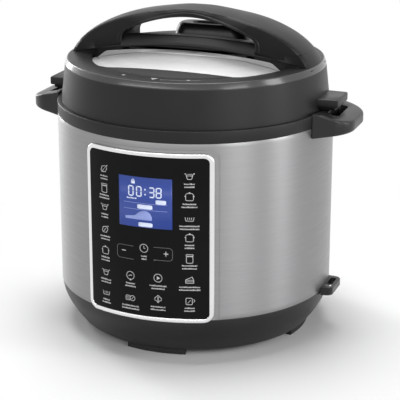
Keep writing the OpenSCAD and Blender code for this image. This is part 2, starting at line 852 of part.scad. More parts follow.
module ring_rack() {
    leg_top = steel_dome(rack_r + rack_wire) - steel_lid_t - seat;
    color("#b4b7ba") {
        rotate_extrude() translate([rack_r, rack_z]) circle(r = rack_wire, $fn = 24);
        around(rack_legs, rack_r) translate([0, 0, rack_z]) cylinder(r = rack_leg_r, h = leg_top - rack_z);
    }
}

// Height of the pressure lid's outer face, dome and shoulder together
function steel_dome(r) = r <= window_r ? dome_at(r)
    : dome_edge_z - shoulder_h
        + shoulder_h * sqrt(max(0, 1 - pow((r - window_r) / (skirt_r - window_r), 2)));

// Profile of the pressure lid's face, moved in by a thickness
function lid_face(t, n = 12) = concat(
    [for (i = [0 : n]) [window_r * i / n, dome_at(window_r * i / n) - t]],
    [for (i = [1 : n]) let (a = 90 * i / n)
        [window_r + (skirt_r - window_r - t) * sin(a),
         dome_edge_z - shoulder_h + (shoulder_h - t) * cos(a)]]);

module pressure_lid() {
    outer = lid_face(0);
    inner = lid_face(steel_lid_t);
    last = len(inner) - 1;
    color("#c6c8ca") difference() {
        union() {
            rotate_extrude() polygon(concat(outer, [[skirt_r, skirt_z0], [skirt_r - steel_lid_t, skirt_z0]],
                [for (i = [last : -1 : 0]) inner[i]]));
            for (i = [0 : lug_count - 1]) rotate([0, 0, 360 / lug_count * (i + 0.5)])
                arc_block(skirt_r - steel_lid_t / 2, skirt_r + lug_out, skirt_z0, lug_t, lug_angle);
        }
        translate([knob_x, knob_y, 0]) cylinder(r = pipe_r + run, h = 2 * dome_top);
        translate([float_x, float_y, 0]) cylinder(r = float_r + run, h = 2 * dome_top);
    }
}

module lid_cover() {
    color("#26272a") difference() {
        union() {
            cover_ring();
            cover_tab();
            cover_pedestal();
            mirror([1, 0, 0]) cover_pedestal();
            cover_deck();
            cover_ridge();
            cover_fin();
            mirror([1, 0, 0]) cover_fin();
        }
        translate([knob_x, knob_y, 0]) cylinder(r = pipe_r + fit, h = 2 * dome_top);
        translate([float_x, float_y, 0]) cylinder(r = float_r + fit, h = 2 * dome_top);
        for (x = [-1, 1], y = [-1, 1]) translate([x * handle_screw_x, y * handle_screw_y, 0]) {
            cylinder(r = handle_screw_r + fit, h = 2 * dome_top);
            cylinder(r = handle_screw_head_r + fit, h = pedestal_z - handle_screw_sink);
        }
    }
}

// Tapered side, bevel and flat top of the cover as one turned shell
module cover_ring() {
    rotate_extrude() polygon([
        [lid_r0, lid_z0], [lid_r0 + 0.4, ring_z1], [lid_r1, lid_z1], [lid_r2, lid_z2],
        [window_r, lip_z], [window_r, lip_z - lip_edge_t], [lid_r2 - cover_t, lid_z2 - cover_t],
        [lid_r1 - cover_t, lid_z1 - cover_t / 2], [lid_r0 + 0.4 - cover_t, ring_z1],
        [lid_r0 - cover_t, lid_z0]]);
}

// Tab that lies just above the dome and reaches into the front window
module cover_tab() {
    edge_y = -(window_r - tab_reach);
    n = 6;
    r_in = window_r - tab_reach - 4;
    intersection() {
        rotate_extrude() polygon(concat(
            [for (i = [0 : n]) let (r = r_in + (window_r + 1 - r_in) * i / n) [r, dome_at(r) + lip_gap]],
            [for (i = [n : -1 : 0]) let (r = r_in + (window_r + 1 - r_in) * i / n)
                [r, dome_at(r) + lip_gap + lip_edge_t]]));
        linear_extrude(2 * dome_top) intersection() {
            translate([-tab_w / 2, -drum_r]) square([tab_w, drum_r]);
            translate([0, edge_y - tab_bow]) circle(r = tab_bow);
        }
    }
}

// Foot that lifts the arch's end off the ring
module cover_pedestal() {
    x0 = post_x - 5;
    span = arch_span(pedestal_z);
    x_end = lid_r2 - 3.5;
    x_lip = window_r - 1.5;
    n = 4;
    across(2 * bridge_half) polygon(concat(
        [[x0, deck_z0], [x0, deck_z1], [post_x, pedestal_z]],
        arch_curve(span, x_end, 6),
        [[x_end, lip_z + 0.4], [x_lip, lip_z - lip_edge_t / 2]],
        [for (i = [0 : n]) let (x = x_lip - (x_lip - x0) * i / n) [x, dome_at(x) + lip_gap]]));
}

// Deck between the pedestals, with a rounded platform behind it for the steam knob
module cover_deck() {
    translate([0, 0, deck_z0]) linear_extrude(deck_z1 - deck_z0) union() {
        translate([-post_x, -bridge_half + 3]) square([2 * post_x, 2 * bridge_half - 3]);
        translate([knob_x, knob_y]) polygon(stadium(knob_l + 8, knob_w + 8));
    }
}

// Sloped band in front of the deck, crowned along X
module cover_ridge() {
    h = ridge_h;
    z = deck_z1;
    crown_r = (pow(post_x, 2) + pow(ridge_sag, 2)) / (2 * ridge_sag);
    intersection() {
        rotate([90, 0, 90]) translate([0, 0, -post_x]) linear_extrude(2 * post_x) polygon([
            [-bridge_half + 3, z - 1], [-bridge_half + 3, z + ridge_lip - 1],
            [-bridge_half, z + ridge_lip], [-bridge_half + 0.4, z + ridge_lip + 1.3],
            [ridge_top_y, z + h], [ridge_back - 2, z + h], [ridge_back, z + h - 3], [ridge_back, z - 1]]);
        across(4 * bridge_half) translate([0, z + h - crown_r]) circle(r = crown_r, $fn = 360);
    }
}

module cover_fin() {
    x0 = lid_r1 - 1;
    translate([0, 0, fin_z0]) linear_extrude(fin_t) polygon([
        [x0, -fin_w / 2 - 1.5], [fin_reach - 1.5, -fin_w / 2], [fin_reach, -fin_w / 2 + 1.5],
        [fin_reach, fin_w / 2 - 1.5], [fin_reach - 1.5, fin_w / 2], [x0, fin_w / 2 + 1.5]]);
}

// ---------------------------------------------------------------- lid handle

module arch_handle() {
    span = arch_span(pedestal_z);
    outer = concat(arch_curve(0, span * 0.9, 22), arch_curve(span * 0.93, span, 4));
    under = arch_underside();
    n_und = len(under);
    half = concat(outer, [for (i = [n_und - 1 : -1 : 1]) under[i]]);
    n_plan = 24;
    plan = [for (i = [-n_plan : n_plan]) let (x = arch_a * i / n_plan) [x, arch_half(x)]];
    color("#2b2c2f") difference() {
        intersection() {
            across(arch_w) polygon(concat(half, [under[0]], mirrored(half)));
            linear_extrude(2 * arch_top) polygon(concat(plan, [for (p = plan) [-p[0], -p[1]]]));
        }
        for (x = [-1, 1], y = [-1, 1])
            translate([x * handle_screw_x, y * handle_screw_y, pedestal_z - cut])
                cylinder(r = handle_screw_r + run, h = handle_screw_hole + cut);
    }
}

module handle_screws() {
    color("#b7babd") for (x = [-1, 1], y = [-1, 1])
        translate([x * handle_screw_x, y * handle_screw_y, pedestal_z - handle_screw_sink]) {
            translate([0, 0, -handle_screw_head_h])
                cylinder(r = handle_screw_head_r, h = handle_screw_head_h);
            cylinder(r = handle_screw_r, h = handle_screw_l);
        }
}

// ---------------------------------------------------------------- steam parts

module exhaust_pipe() {
    flange_z = dome_at(norm([knob_x, knob_y])) - steel_lid_t;
    color("#b3b6b9") translate([knob_x, knob_y, 0]) difference() {
        union() {
            translate([0, 0, pipe_z0]) cylinder(r = pipe_r, h = pipe_z1 - pipe_z0);
            translate([0, 0, flange_z - pipe_flange_t - 1]) cylinder(r = pipe_flange_r, h = pipe_flange_t);
        }
        translate([0, 0, pipe_z0 - cut]) cylinder(r = pipe_bore_r, h = pipe_z1 - pipe_z0 + 2 * cut);
    }
}

module anti_block_shield() {
    wall = 1.2;
    z0 = pipe_z0 - 3;
    color("#bfc2c4") translate([knob_x, knob_y, 0]) difference() {
        translate([0, 0, z0]) cylinder(r = shield_r, h = shield_h);
        translate([0, 0, z0 - cut]) cylinder(r = shield_r - wall, h = shield_h - wall + cut);
        translate([0, 0, z0]) cylinder(r = pipe_r + 0.1, h = shield_h + cut);
        for (i = [0 : 7]) rotate([0, 0, 45 * i]) translate([shield_r / 2, -1, z0 - cut])
            cube([shield_r, 2, shield_h - 3 + cut]);
    }
}

module float_valve() {
    cap_z = deck_z1 + seat;
    color("#b5363a") translate([float_x, float_y, 0]) {
        translate([0, 0, float_flange_z]) cylinder(r = float_r, h = cap_z - float_flange_z);
        translate([0, 0, cap_z]) cylinder(r = float_cap_r, h = 1.5);
        translate([0, 0, float_flange_z]) cylinder(r = float_flange_r, h = 2);
    }
}

module float_seal() {
    z0 = float_flange_z + 2;
    color("#d8dadb") translate([float_x, float_y, 0])
        tube(float_flange_r - 0.5, float_r + 0.1, z0, z0 + 2);
}

module steam_knob() {
    step = 4;
    skin = 2.4;
    color("#2c2d30") translate([knob_x, knob_y, knob_z0]) difference() {
        union() {
            linear_extrude(knob_h - step) polygon(stadium(knob_l, knob_w));
            linear_extrude(knob_h) polygon(stadium(knob_l - 2 * step, knob_w - 2 * step));
        }
        translate([0, 0, knob_h - 4]) linear_extrude(5) polygon(stadium(knob_l - 18, knob_w - 18));
        translate([0, 0, -cut]) cylinder(r = pipe_r + run, h = pipe_z1 - knob_z0 + cut + seat);
        translate([0, 0, -cut]) linear_extrude(cut + 2) difference() {
            polygon(stadium(knob_l - 2 * skin, knob_w - 2 * skin));
            circle(r = pipe_r + skin);
        }
    }
}

// ---------------------------------------------------------------- the parts

base();
feet();
bottom_cover();
base_screws();
steel_shell();
top_ring();
side_handle_right();
side_handle_left();
panel_frame();
panel_glass();
display_module();
control_board();
power_board();
mains_inlet();
inlet_pins();
spoon_loop();
liner();
locking_collar();
heating_plate();
sensor_cup();
sensor_button();
sensor_spring();
pressure_switch();
thermal_fuse();
collector_bracket();
collector_cup();
inner_pot();
sealing_ring();
ring_rack();
pressure_lid();
lid_cover();
arch_handle();
handle_screws();
exhaust_pipe();
anti_block_shield();
float_valve();
float_seal();
steam_knob();
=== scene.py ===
# %% [markdown]
# # An electric pressure cooker, dressed in Blender
# The packed model gives exact solids, joints and places. This lesson gives them their looks: each shell
# that is seen becomes a smooth surface worked out with numpy, and each finish is a procedural material.
# The frame is loaded first, and its nodes are kept.

import json
import math

import bmesh
import bpy
import numpy as np
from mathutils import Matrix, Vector


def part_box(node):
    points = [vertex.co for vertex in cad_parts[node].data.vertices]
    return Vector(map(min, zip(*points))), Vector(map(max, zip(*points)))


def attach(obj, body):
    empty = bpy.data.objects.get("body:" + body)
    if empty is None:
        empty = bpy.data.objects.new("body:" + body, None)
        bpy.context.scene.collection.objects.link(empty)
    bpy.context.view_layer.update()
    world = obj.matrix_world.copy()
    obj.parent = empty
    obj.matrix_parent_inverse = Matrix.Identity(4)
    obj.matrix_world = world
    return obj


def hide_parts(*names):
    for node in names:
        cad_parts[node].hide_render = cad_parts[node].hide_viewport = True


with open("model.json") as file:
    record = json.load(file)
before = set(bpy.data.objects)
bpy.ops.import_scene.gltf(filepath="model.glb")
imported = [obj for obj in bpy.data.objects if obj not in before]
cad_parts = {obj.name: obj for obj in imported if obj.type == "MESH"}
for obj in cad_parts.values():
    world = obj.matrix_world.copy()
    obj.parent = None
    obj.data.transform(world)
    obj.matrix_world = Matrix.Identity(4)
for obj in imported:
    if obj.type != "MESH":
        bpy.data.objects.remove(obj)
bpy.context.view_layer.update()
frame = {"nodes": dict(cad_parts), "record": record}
BODY_OF = {node: body for body, nodes in frame["record"]["behaviour"]["bodies"].items() for node in nodes}


def box(node):
    """Lowest and highest corner of a node, in millimetres."""
    lo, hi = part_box(node)
    return np.array(lo) * 1000, np.array(hi) * 1000

# %% [markdown]
# ## The camera
# The cooker is seen from its right and a little above, with a long lens, which keeps the drum's sides
# almost parallel. The whole view comes from where the camera stands and where it points, with no shift.

# %% Camera
camera_data = bpy.data.cameras.new("camera")
camera_data.lens = 132.51
camera_data.sensor_width = 36
camera = bpy.data.objects.new("camera", camera_data)
camera.location = (0.4929, -1.3506, 0.5769)
camera.rotation_euler = (math.radians(72.423), 0, math.radians(19.88))
bpy.context.scene.collection.objects.link(camera)
bpy.context.scene.camera = camera
bpy.context.scene.view_settings.view_transform = "Standard"
print("camera", tuple(round(c, 3) for c in camera.location))

# %% [markdown]
# ## Surfaces from arrays
# A shell could be modelled by hand, but every shape here follows a rule: a profile turned round the
# drum's axis, a row of closed outlines stacked like ribs, or a height over a grid. So each is computed as
# whole arrays in millimetres, and two helpers turn the arrays into a mesh with closed seams and poles.

# %% Grids
def grid_faces(rows, columns, close_rows=False, close_columns=False):
    """Corner numbers of the quads between neighbouring rows and columns of a grid of points."""
    i = np.arange(rows if close_rows else rows - 1)
    j = np.arange(columns if close_columns else columns - 1)
    i, j = (a.ravel() for a in np.meshgrid(i, j, indexing="ij"))
    i1, j1 = (i + 1) % rows, (j + 1) % columns
    return np.stack([i * columns + j, i * columns + j1, i1 * columns + j1, i1 * columns + j], -1)


def part_of(points, faces, caps=()):
    """Points as one long list, with quads and many-sided end caps as lists of corner numbers."""
    return np.reshape(points, (-1, 3)), [list(f) for f in faces.tolist()] + [list(c) for c in caps]


print("a grid of 3 by 4 points has", len(grid_faces(3, 4)), "quads, and", len(grid_faces(3, 4, True, True)),
      "when it closes on itself both ways")

# %% Shells
def around(a, r, z):
    """A row of (radius, height) points at each angle: x = r cos a, y = r sin a."""
    x, y = np.outer(np.cos(a), r), np.outer(np.sin(a), r)
    return np.stack([x, y, np.broadcast_to(z, x.shape)], -1)


def turned(profile, steps=240):
    """Turns a closed profile of (radius, height) points once round Z."""
    profile = np.asarray(profile, float)
    a = np.arange(steps) * 2 * np.pi / steps
    r, z = profile[:, 0], profile[:, 1]
    return part_of(around(a, r, z), grid_faces(steps, len(profile), True, True))


def ribs(rings, close=False):
    """Skins a stack of closed outlines that have as many points each, with a flat cap on both ends."""
    rings = np.asarray(rings, float)
    rows, columns = rings.shape[:2]
    first, last = np.arange(columns), (rows - 1) * columns + np.arange(columns)
    caps = () if close else (first[::-1].tolist(), last.tolist())
    return part_of(rings, grid_faces(rows, columns, close, True), caps)


def sheet_of(points):
    """Skins an open grid of points."""
    points = np.asarray(points, float)
    return part_of(points, grid_faces(*points.shape[:2]))


print("a washer turned in 8 steps has", len(turned([(1, 0), (2, 0), (2, 1), (1, 1)], 8)[1]), "faces")

# %% Parts out of parts
def mirrored(part):
    """The same part on the other side of the plane x = 0; its faces are turned outward later, by piece()."""
    return part[0] * (-1, 1, 1), part[1]


def joined(*parts):
    """Puts several parts into one, moving each part's corner numbers past those before it."""
    points, faces, start = [], [], 0
    for p, f in parts:
        points.append(p)
        faces += [[start + k for k in face] for face in f]
        start += len(p)
    return np.concatenate(points), faces


washer = turned([(1, 0), (2, 0), (2, 1), (1, 1)], 8)
print("two washers joined have", len(joined(washer, mirrored(washer))[0]), "points")

# %% [markdown]
# ## From a part to a piece
# A part is only points and faces. A piece is a Blender object that stays at the origin, with its place in
# its mesh. Its doubled points at seams and poles are merged first, and then its faces are turned outward,
# so that a wall added by Solidify grows inward and the piece keeps its outside size.

# %% Pieces
def piece(name, part, node, finish, sharp=35, bevel=0.0, wall=0.0, segments=3, replaces=()):
    """Makes a mesh object from a part in millimetres, with its seams closed and its faces outward,
    gives it a wall and rounded edges where asked, and lets it ride and stand for its CAD nodes."""
    points, faces = part
    mesh = bpy.data.meshes.new(name)
    mesh.from_pydata((points / 1000).tolist(), [], faces)
    bm = bmesh.new()
    bm.from_mesh(mesh)
    bmesh.ops.remove_doubles(bm, verts=bm.verts, dist=2e-6)
    bmesh.ops.dissolve_degenerate(bm, edges=bm.edges, dist=1e-6)
    bmesh.ops.recalc_face_normals(bm, faces=bm.faces)
    bm.to_mesh(mesh)
    bm.free()
    mesh.polygons.foreach_set("use_smooth", np.ones(len(mesh.polygons), bool))
    mesh.set_sharp_from_angle(angle=math.radians(sharp))
    mesh.materials.append(finish)
    made = bpy.data.objects.new(name, mesh)
    bpy.context.scene.collection.objects.link(made)
    if wall:
        solidify = made.modifiers.new("wall", "SOLIDIFY")
        solidify.thickness, solidify.offset = wall / 1000, -1
        solidify.use_even_offset = True
    if bevel:
        rounding = made.modifiers.new("rounding", "BEVEL")
        rounding.width, rounding.segments = bevel / 1000, segments
        rounding.limit_method, rounding.angle_limit = "ANGLE", math.radians(sharp)
        rounding.harden_normals = True
    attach(made, BODY_OF[node])
    if replaces:
        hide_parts(*replaces)
    print("piece", name, len(mesh.polygons), "faces")
    return made

# %% [markdown]
# ## Outlines
# Moulded and pressed parts have no sharp corners. A bevel modifier could round them all, but an outline
# that is round already gives the exact radius, and keeps the same number of points from rib to rib.

# %% Round corners
def rounded(corners, radii, steps=6, close=True):
    """Rounds each corner of an outline by the circle that touches both sides: between the two touching
    points runs the curve ((1-t)^2 A + 2 w t (1-t) P + t^2 B) / ((1-t)^2 + 2 w t (1-t) + t^2), which is
    that circle when w is the cosine of half the turn."""
    p = np.asarray(corners, float)
    r = np.broadcast_to(np.asarray(radii, float), len(p)).copy()
    back, ahead = np.roll(p, 1, 0) - p, np.roll(p, -1, 0) - p
    lb, la = np.linalg.norm(back, axis=1), np.linalg.norm(ahead, axis=1)
    back, ahead = back / lb[:, None], ahead / la[:, None]
    inner = np.arccos(np.clip((back * ahead).sum(1), -1, 1))
    reach = np.minimum(r / np.tan(np.maximum(inner, 1e-3) / 2), 0.49 * np.minimum(lb, la))
    if not close:
        reach[[0, -1]] = 0
    a, b = p + back * reach[:, None], p + ahead * reach[:, None]
    w = np.sin(inner / 2)[:, None, None]
    t = np.linspace(0, 1, steps)[None, :, None]
    top = (1 - t) ** 2 * a[:, None] + 2 * w * t * (1 - t) * p[:, None] + t ** 2 * b[:, None]
    return (top / ((1 - t) ** 2 + 2 * w * t * (1 - t) + t ** 2)).reshape(-1, 2)


def rounded_box(w, h, r, cx=0.0, cy=0.0, steps=8):
    """Rectangle with round corners, counter-clockwise, starting on its right side."""
    c = np.array([[w / 2, -h / 2], [w / 2, h / 2], [-w / 2, h / 2], [-w / 2, -h / 2]])
    return rounded(c, r, steps) + (cx, cy)


print("a 10 by 6 box with 2 mm corners is", np.ptp(rounded_box(10, 6, 2), axis=0).round(3), "over all")

# %% Lines and blends
def at_height(outline, z):
    """Lifts a flat outline to a height, or to one height for each of its points."""
    return np.column_stack([outline, np.broadcast_to(z, len(outline))])


def along(points, count):
    """Spreads a number of points evenly along a line through the given points."""
    points = np.asarray(points, float)
    s = np.concatenate([[0], np.cumsum(np.linalg.norm(np.diff(points, axis=0), axis=1))])
    return np.stack([np.interp(np.linspace(0, s[-1], count), s, c) for c in points.T], -1)


def smooth(x, lo, hi):
    """Goes from 0 to 1 between two values, level at both ends: t^2 (3 - 2 t)."""
    t = np.clip((np.asarray(x, float) - lo) / (hi - lo), 0, 1)
    return t * t * (3 - 2 * t)


print("smooth from 0 to 1 at a quarter of the way:", round(float(smooth(0.25, 0, 1)), 4))

# %% [markdown]
# ## Writing materials as sums
# A node tree drawn by hand is hard to read. Here a small class wraps one output socket, and +, -, * and /
# on it add the Math nodes, so that a finish reads like a formula. Colours are mixed by Mix nodes.

# %% Sockets with operators
class Sock:
    """One output of a node, with the operators that add Math nodes."""

    def __init__(self, finish, socket):
        self.finish, self.socket = finish, socket

    def do(self, operation, *others, clamp=False):
        settings = {"operation": operation, "use_clamp": clamp}
        return self.finish.node("ShaderNodeMath", settings, dict(enumerate((self, *others))))

    def __add__(self, o): return self.do("ADD", o)
    def __sub__(self, o): return self.do("SUBTRACT", o)
    def __mul__(self, o): return self.do("MULTIPLY", o)
    def __truediv__(self, o): return self.do("DIVIDE", o)
    def __pow__(self, o): return self.do("POWER", o)
    def __neg__(self): return self.do("MULTIPLY", -1.0)
    def __rsub__(self, o): return (-self).do("ADD", o)
    def __rtruediv__(self, o): return (self ** -1.0).do("MULTIPLY", o)
    __radd__, __rmul__ = __add__, __mul__

    def ramp(self, lo, hi, to_lo=0.0, to_hi=1.0):
        """Spreads the range lo to hi over to_lo to to_hi, cut off at both ends."""
        return self.finish.node("ShaderNodeMapRange", {"clamp": True},
                                {0: self, 1: lo, 2: hi, 3: to_lo, 4: to_hi})


OPERATORS = ("__add__", "__sub__", "__mul__", "__truediv__", "__pow__")
print("operators", sum(name in vars(Sock) for name in OPERATORS))

# %% Finishes
class Finish:
    """A material with one Principled shader, filled in by keyword."""

    def __init__(self, name):
        self.material = bpy.data.materials.new(name)
        self.material.use_nodes = True
        self.nodes, self.links = self.material.node_tree.nodes, self.material.node_tree.links
        self.shader = next(n for n in self.nodes if n.type == "BSDF_PRINCIPLED")

    def put(self, socket, value):
        """Links an input socket to a Sock, or sets it to a plain value."""
        if isinstance(value, Sock):
            self.links.new(value.socket, socket)
        elif value is not None:
            socket.default_value = value

    def node(self, kind, settings=None, inputs=None, out=0):
        """Adds a node of a type, sets its settings, then links or sets its inputs."""
        made = self.nodes.new(kind)
        for key, value in (settings or {}).items():
            setattr(made, key, value)
        for key, value in (inputs or {}).items():
            self.put(made.inputs[key], value)
        return Sock(self, made.outputs[out])

    def place(self, scale=(1, 1, 1), turn=(0, 0, 0)):
        """Object coordinates, stretched and turned."""
        spot = self.node("ShaderNodeTexCoord", out="Object")
        return self.node("ShaderNodeMapping", inputs={"Vector": spot, "Scale": scale, "Rotation": turn})

    def axes(self):
        """The three Object coordinates, in metres."""
        split = self.node("ShaderNodeSeparateXYZ", inputs={0: self.node("ShaderNodeTexCoord", out="Object")})
        return [Sock(self, s) for s in split.socket.node.outputs]

    def noise(self, scale, detail=3.0, rough=0.5, vector=None):
        """Noise from 0 to 1 at a scale per metre."""
        inputs = {"Vector": vector or self.place(), "Scale": scale, "Detail": detail, "Roughness": rough}
        return self.node("ShaderNodeTexNoise", {"normalize": True}, inputs, "Fac")

    def mix(self, factor, a, b):
        """Colour a where the factor is 0 and colour b where it is 1."""
        made = self.nodes.new("ShaderNodeMix")
        made.data_type = "RGBA"
        self.put(made.inputs[0], factor)
        self.put(made.inputs[6], a if isinstance(a, Sock) else (*a[:3], 1))
        self.put(made.inputs[7], b if isinstance(b, Sock) else (*b[:3], 1))
        return Sock(self, made.outputs[2])

    def shades(self, factor, colour, less, more):
        """A colour, darker by a share where the factor is low and lighter by another where it is high."""
        return self.mix(factor.ramp(0.3, 0.7), tuple(c * (1 - less) for c in colour),
                        tuple(min(1, c * (1 + more)) for c in colour))

    def bump(self, height, strength, distance):
        """Relief in the shading alone: a height from 0 to 1 spread over a distance in metres."""
        return self.node("ShaderNodeBump",
                         inputs={"Height": height, "Strength": strength, "Distance": distance})

    def done(self, **inputs):
        """Fills in the shader, one input to each keyword, and gives back the material."""
        for key, value in inputs.items():
            name = key.replace("_", " ")
            if isinstance(value, tuple) and len(value) == 3:
                value = (*value, 1)
            self.put(self.shader.inputs[name], value)
        return self.material


print("Finish helpers", sorted(name for name in vars(Finish) if not name.startswith("_")))

# %% [markdown]
# ## Moulded plastic
# The ring, lid and handles are black ABS with a gloss that is slightly dulled by the mould, the base is a
# satin version of it. The colour barely changes; what shows is a fine waviness in the gloss.

# %% Plastics
def plastic(name, colour, gloss, grain=0.02, wave=0.05, edge=None, shine=0.36, bevels=False):
    """Moulded plastic: the gloss varies by slow noise, and a fine noise dents the surface. The mould is
    polished, which a clear coat shows, above a height given as edge and outside a radius of 126 mm. With
    bevels, it is polished where the surface faces between 11 and 37 degrees away from front or back."""
    f = Finish(name)
    slow, fine = f.noise(26, 2), f.noise(2600, 2)
    polished = None
    if bevels:
        normal = f.node("ShaderNodeTexCoord", out="Normal")
        facing = f.node("ShaderNodeSeparateXYZ", inputs={0: normal}, out=1).do("ABSOLUTE")
        polished = facing.ramp(0.80, 0.87) * facing.ramp(0.985, 0.955)
    if edge:
        x, y, z = f.axes()
        polished = z.ramp(edge - 0.001, edge) * ((x * x + y * y) ** 0.5).ramp(0.1262, 0.1274)
    return f.done(Base_Color=f.shades(slow, colour, 0.12, 0.12), Specular_IOR_Level=shine,
                  Roughness=slow.ramp(0.3, 0.7, gloss * 0.88, gloss * 1.12),
                  Coat_Weight=polished, Coat_Roughness=0.16,
                  Normal=f.bump(slow * wave + fine * grain, 0.25, 0.0004))


ring_black = plastic("ring_black", (0.010, 0.010, 0.0105), 0.42, shine=0.28)
lid_black = plastic("lid_black", (0.010, 0.010, 0.0105), 0.42, edge=0.2675, shine=0.28)
arch_black = plastic("arch_black", (0.009, 0.009, 0.0095), 0.40, shine=0.22, bevels=True)
foot_black = plastic("foot_black", (0.009, 0.009, 0.0095), 0.40, shine=0.22)
base_black = plastic("base_black", (0.010, 0.010, 0.0105), 0.38, grain=0.10)
handle_black = plastic("handle_black", (0.012, 0.012, 0.0125), 0.33, grain=0.05)
rubber = plastic("foot_rubber", (0.020, 0.020, 0.020), 0.75, grain=0.3)
print("plastics made")

# %% [markdown]
# ## Brushed steel
# The drum is brushed round its girth, so the scratches run level: noise that changes quickly with height
# and slowly along the sheet gives them. The dome is brushed the same way round its own middle, so its
# noise changes with the distance from the axis.

# %% Steels
def brushed(name, colour, rough, streak, depth, ringed=False):
    """Brushed metal: two noises drawn out along the scratches, one fine and one broad. A sheet that is
    brushed one way also draws its gloss out across the scratches, which Anisotropic gives."""
    f = Finish(name)
    if ringed:
        x, y, z = f.axes()
        far, turn = (x * x + y * y) ** 0.5, y.do("ARCTAN2", x)
        fine_at = broad_at = f.node("ShaderNodeCombineXYZ",
                                    inputs={0: far, 1: z * 0.1, 2: turn.do("SINE") * 0.002})
    else:
        fine_at, broad_at = f.place((0.012, 0.012, 1)), f.place((0.05, 0.05, 1))
    fine = f.noise(5200, 3, vector=fine_at, rough=0.65)
    broad = f.noise(420, 3, vector=broad_at)
    cloud = f.noise(9, 2)
    mark = fine * 0.65 + broad * 0.35
    gloss = mark.ramp(0.3, 0.7, rough * 1.15, rough * 0.85) + cloud.ramp(0.3, 0.7, -0.02, 0.02)
    return f.done(Base_Color=f.shades(mark, colour, streak, streak), Metallic=1.0, Roughness=gloss,
                  Normal=f.bump(mark, depth, 0.00006),
                  Anisotropic=0.0 if ringed else 0.75, Anisotropic_Rotation=0.25)


drum_steel = brushed("brushed_drum", (0.29, 0.29, 0.295), 0.42, 0.05, 0.35)
dome_steel = brushed("brushed_dome", (0.56, 0.56, 0.56), 0.50, 0.06, 0.30, ringed=True)
pot_steel = brushed("pot_steel", (0.66, 0.66, 0.66), 0.22, 0.04, 0.2, ringed=True)
print("brushed steels made")

# %% [markdown]
# ## Cast and plated metal
# The panel's frame is chromed, and the heating plate, the screws and the inner sheets are cast, plated or
# pressed. None of them is brushed in one direction, so one even noise does for colour, gloss and relief.

# %% Cast and plated metal
def cast(name, colour, rough, grain, scale=900, depth=0.3):
    """Cast, pressed or plated metal: a fine even grain in the colour, the gloss and the relief."""
    f = Finish(name)
    fine, slow = f.noise(scale, 3), f.noise(40, 2)
    return f.done(Base_Color=f.shades(fine * 0.6 + slow * 0.4, colour, grain, grain), Metallic=1.0,
                  Roughness=slow.ramp(0.3, 0.7, rough * 0.85, rough * 1.15),
                  Normal=f.bump(fine, depth, 0.00005))


chrome = cast("bright_chrome", (0.78, 0.78, 0.79), 0.12, 0.02, scale=400, depth=0.05)
print("chrome made")

# %% [markdown]
# ## Drum, base and ring
# The drum is a rolled sheet with a shallow formed step round the control panel, so its radius is a
# function of angle and height. The base bowl and the ring are turned. The bowl has a rectangular hole at
# the back for the mains inlet, which is left out of its grid, and a modifier gives it its wall.

# %% Sizes of the drum and the panel
drum_lo, drum_hi = box("steel_shell")
drum_r, drum_z0, drum_z1 = drum_hi[0], drum_lo[2], drum_hi[2]
frame_lo, frame_hi = box("panel_frame")
panel_w, panel_z0, panel_z1 = frame_hi[0] - frame_lo[0], frame_lo[2], frame_hi[2]
panel_h, panel_mid = panel_z1 - panel_z0, (panel_z0 + panel_z1) / 2
PANEL_CORNER, STEP_MARGIN = 9.0, 3.4
print("drum radius", round(drum_r, 2), "mm, panel", round(panel_w, 1), "by", round(panel_h, 1), "mm")


def inside_round_box(u, v, half_w, half_h, r):
    """How far a point lies inside a rectangle with round corners, negative outside: the distance to it."""
    qu, qv = np.abs(u) - (half_w - r), np.abs(v) - (half_h - r)
    return r - np.hypot(np.maximum(qu, 0), np.maximum(qv, 0)) - np.minimum(np.maximum(qu, qv), 0)


def dense(lo, hi, at, count, reach, close):
    """Even steps from lo to hi, with close steps added within reach of each given place."""
    spots = [np.linspace(lo, hi, count)] + [np.linspace(a - reach, a + reach, close) for a in at]
    s = np.unique(np.round(np.concatenate(spots), 4))
    return s[(s >= lo) & (s <= hi)]

# %% Drum
def drum_part():
    """r(a, z) = R - 0.4 mm times a smooth step that rises where the point is inside the panel's outline.
    Below and above, three rows turn the sheet's edge inward to give it a thickness of 0.8 mm."""
    half_w, half_h = panel_w / 2 + STEP_MARGIN, panel_h / 2 + STEP_MARGIN
    side = math.degrees(math.asin(half_w / drum_r))
    a = np.radians(dense(-180, 179.5, (-side, side), 300, reach=0.9, close=14))
    z = dense(drum_z0 + 0.5, drum_z1 - 0.5, (panel_z1 + STEP_MARGIN,), 40, reach=1.6, close=14)
    a, z = np.meshgrid(a, z, indexing="ij")
    depth = inside_round_box(drum_r * np.sin(a), z - panel_mid, half_w, half_h, STEP_MARGIN + PANEL_CORNER)
    r = drum_r - 0.4 * smooth(depth, -0.6, 0.6) * (np.cos(a) > 0)
    ones = np.ones((len(a), 1))
    edge_r = ones * (drum_r - np.array([0.8, 0.8, 0.25]))
    edge_z = ones * (drum_z0 + np.array([2.0, 0, 0]))
    r = np.hstack([edge_r, r, edge_r[:, ::-1]])
    z = np.hstack([edge_z, z, drum_z0 + drum_z1 - edge_z[:, ::-1]])
    turn = np.broadcast_to(a[:, :1], r.shape)
    points = np.stack([r * np.sin(turn), -r * np.cos(turn), z], -1)
    return part_of(points, grid_faces(len(points), points.shape[1], True, True))


piece("drum_shell", drum_part(), "steel_shell", drum_steel, replaces=("steel_shell",))

# %% Curve of the base
base_lo = box("base")[0]
inlet_lo, inlet_hi = box("mains_inlet")
floor_r, bowl_z0, bowl_z1 = 118.3, base_lo[2], drum_z0


def bowl_radius(z):
    """Outer radius of the bowl: a quarter of a sine wave from the floor's edge to the drum."""
    return floor_r + (drum_r - 0.5 - floor_r) * np.sin(np.pi / 2 * (z - bowl_z0) / (bowl_z1 - bowl_z0))


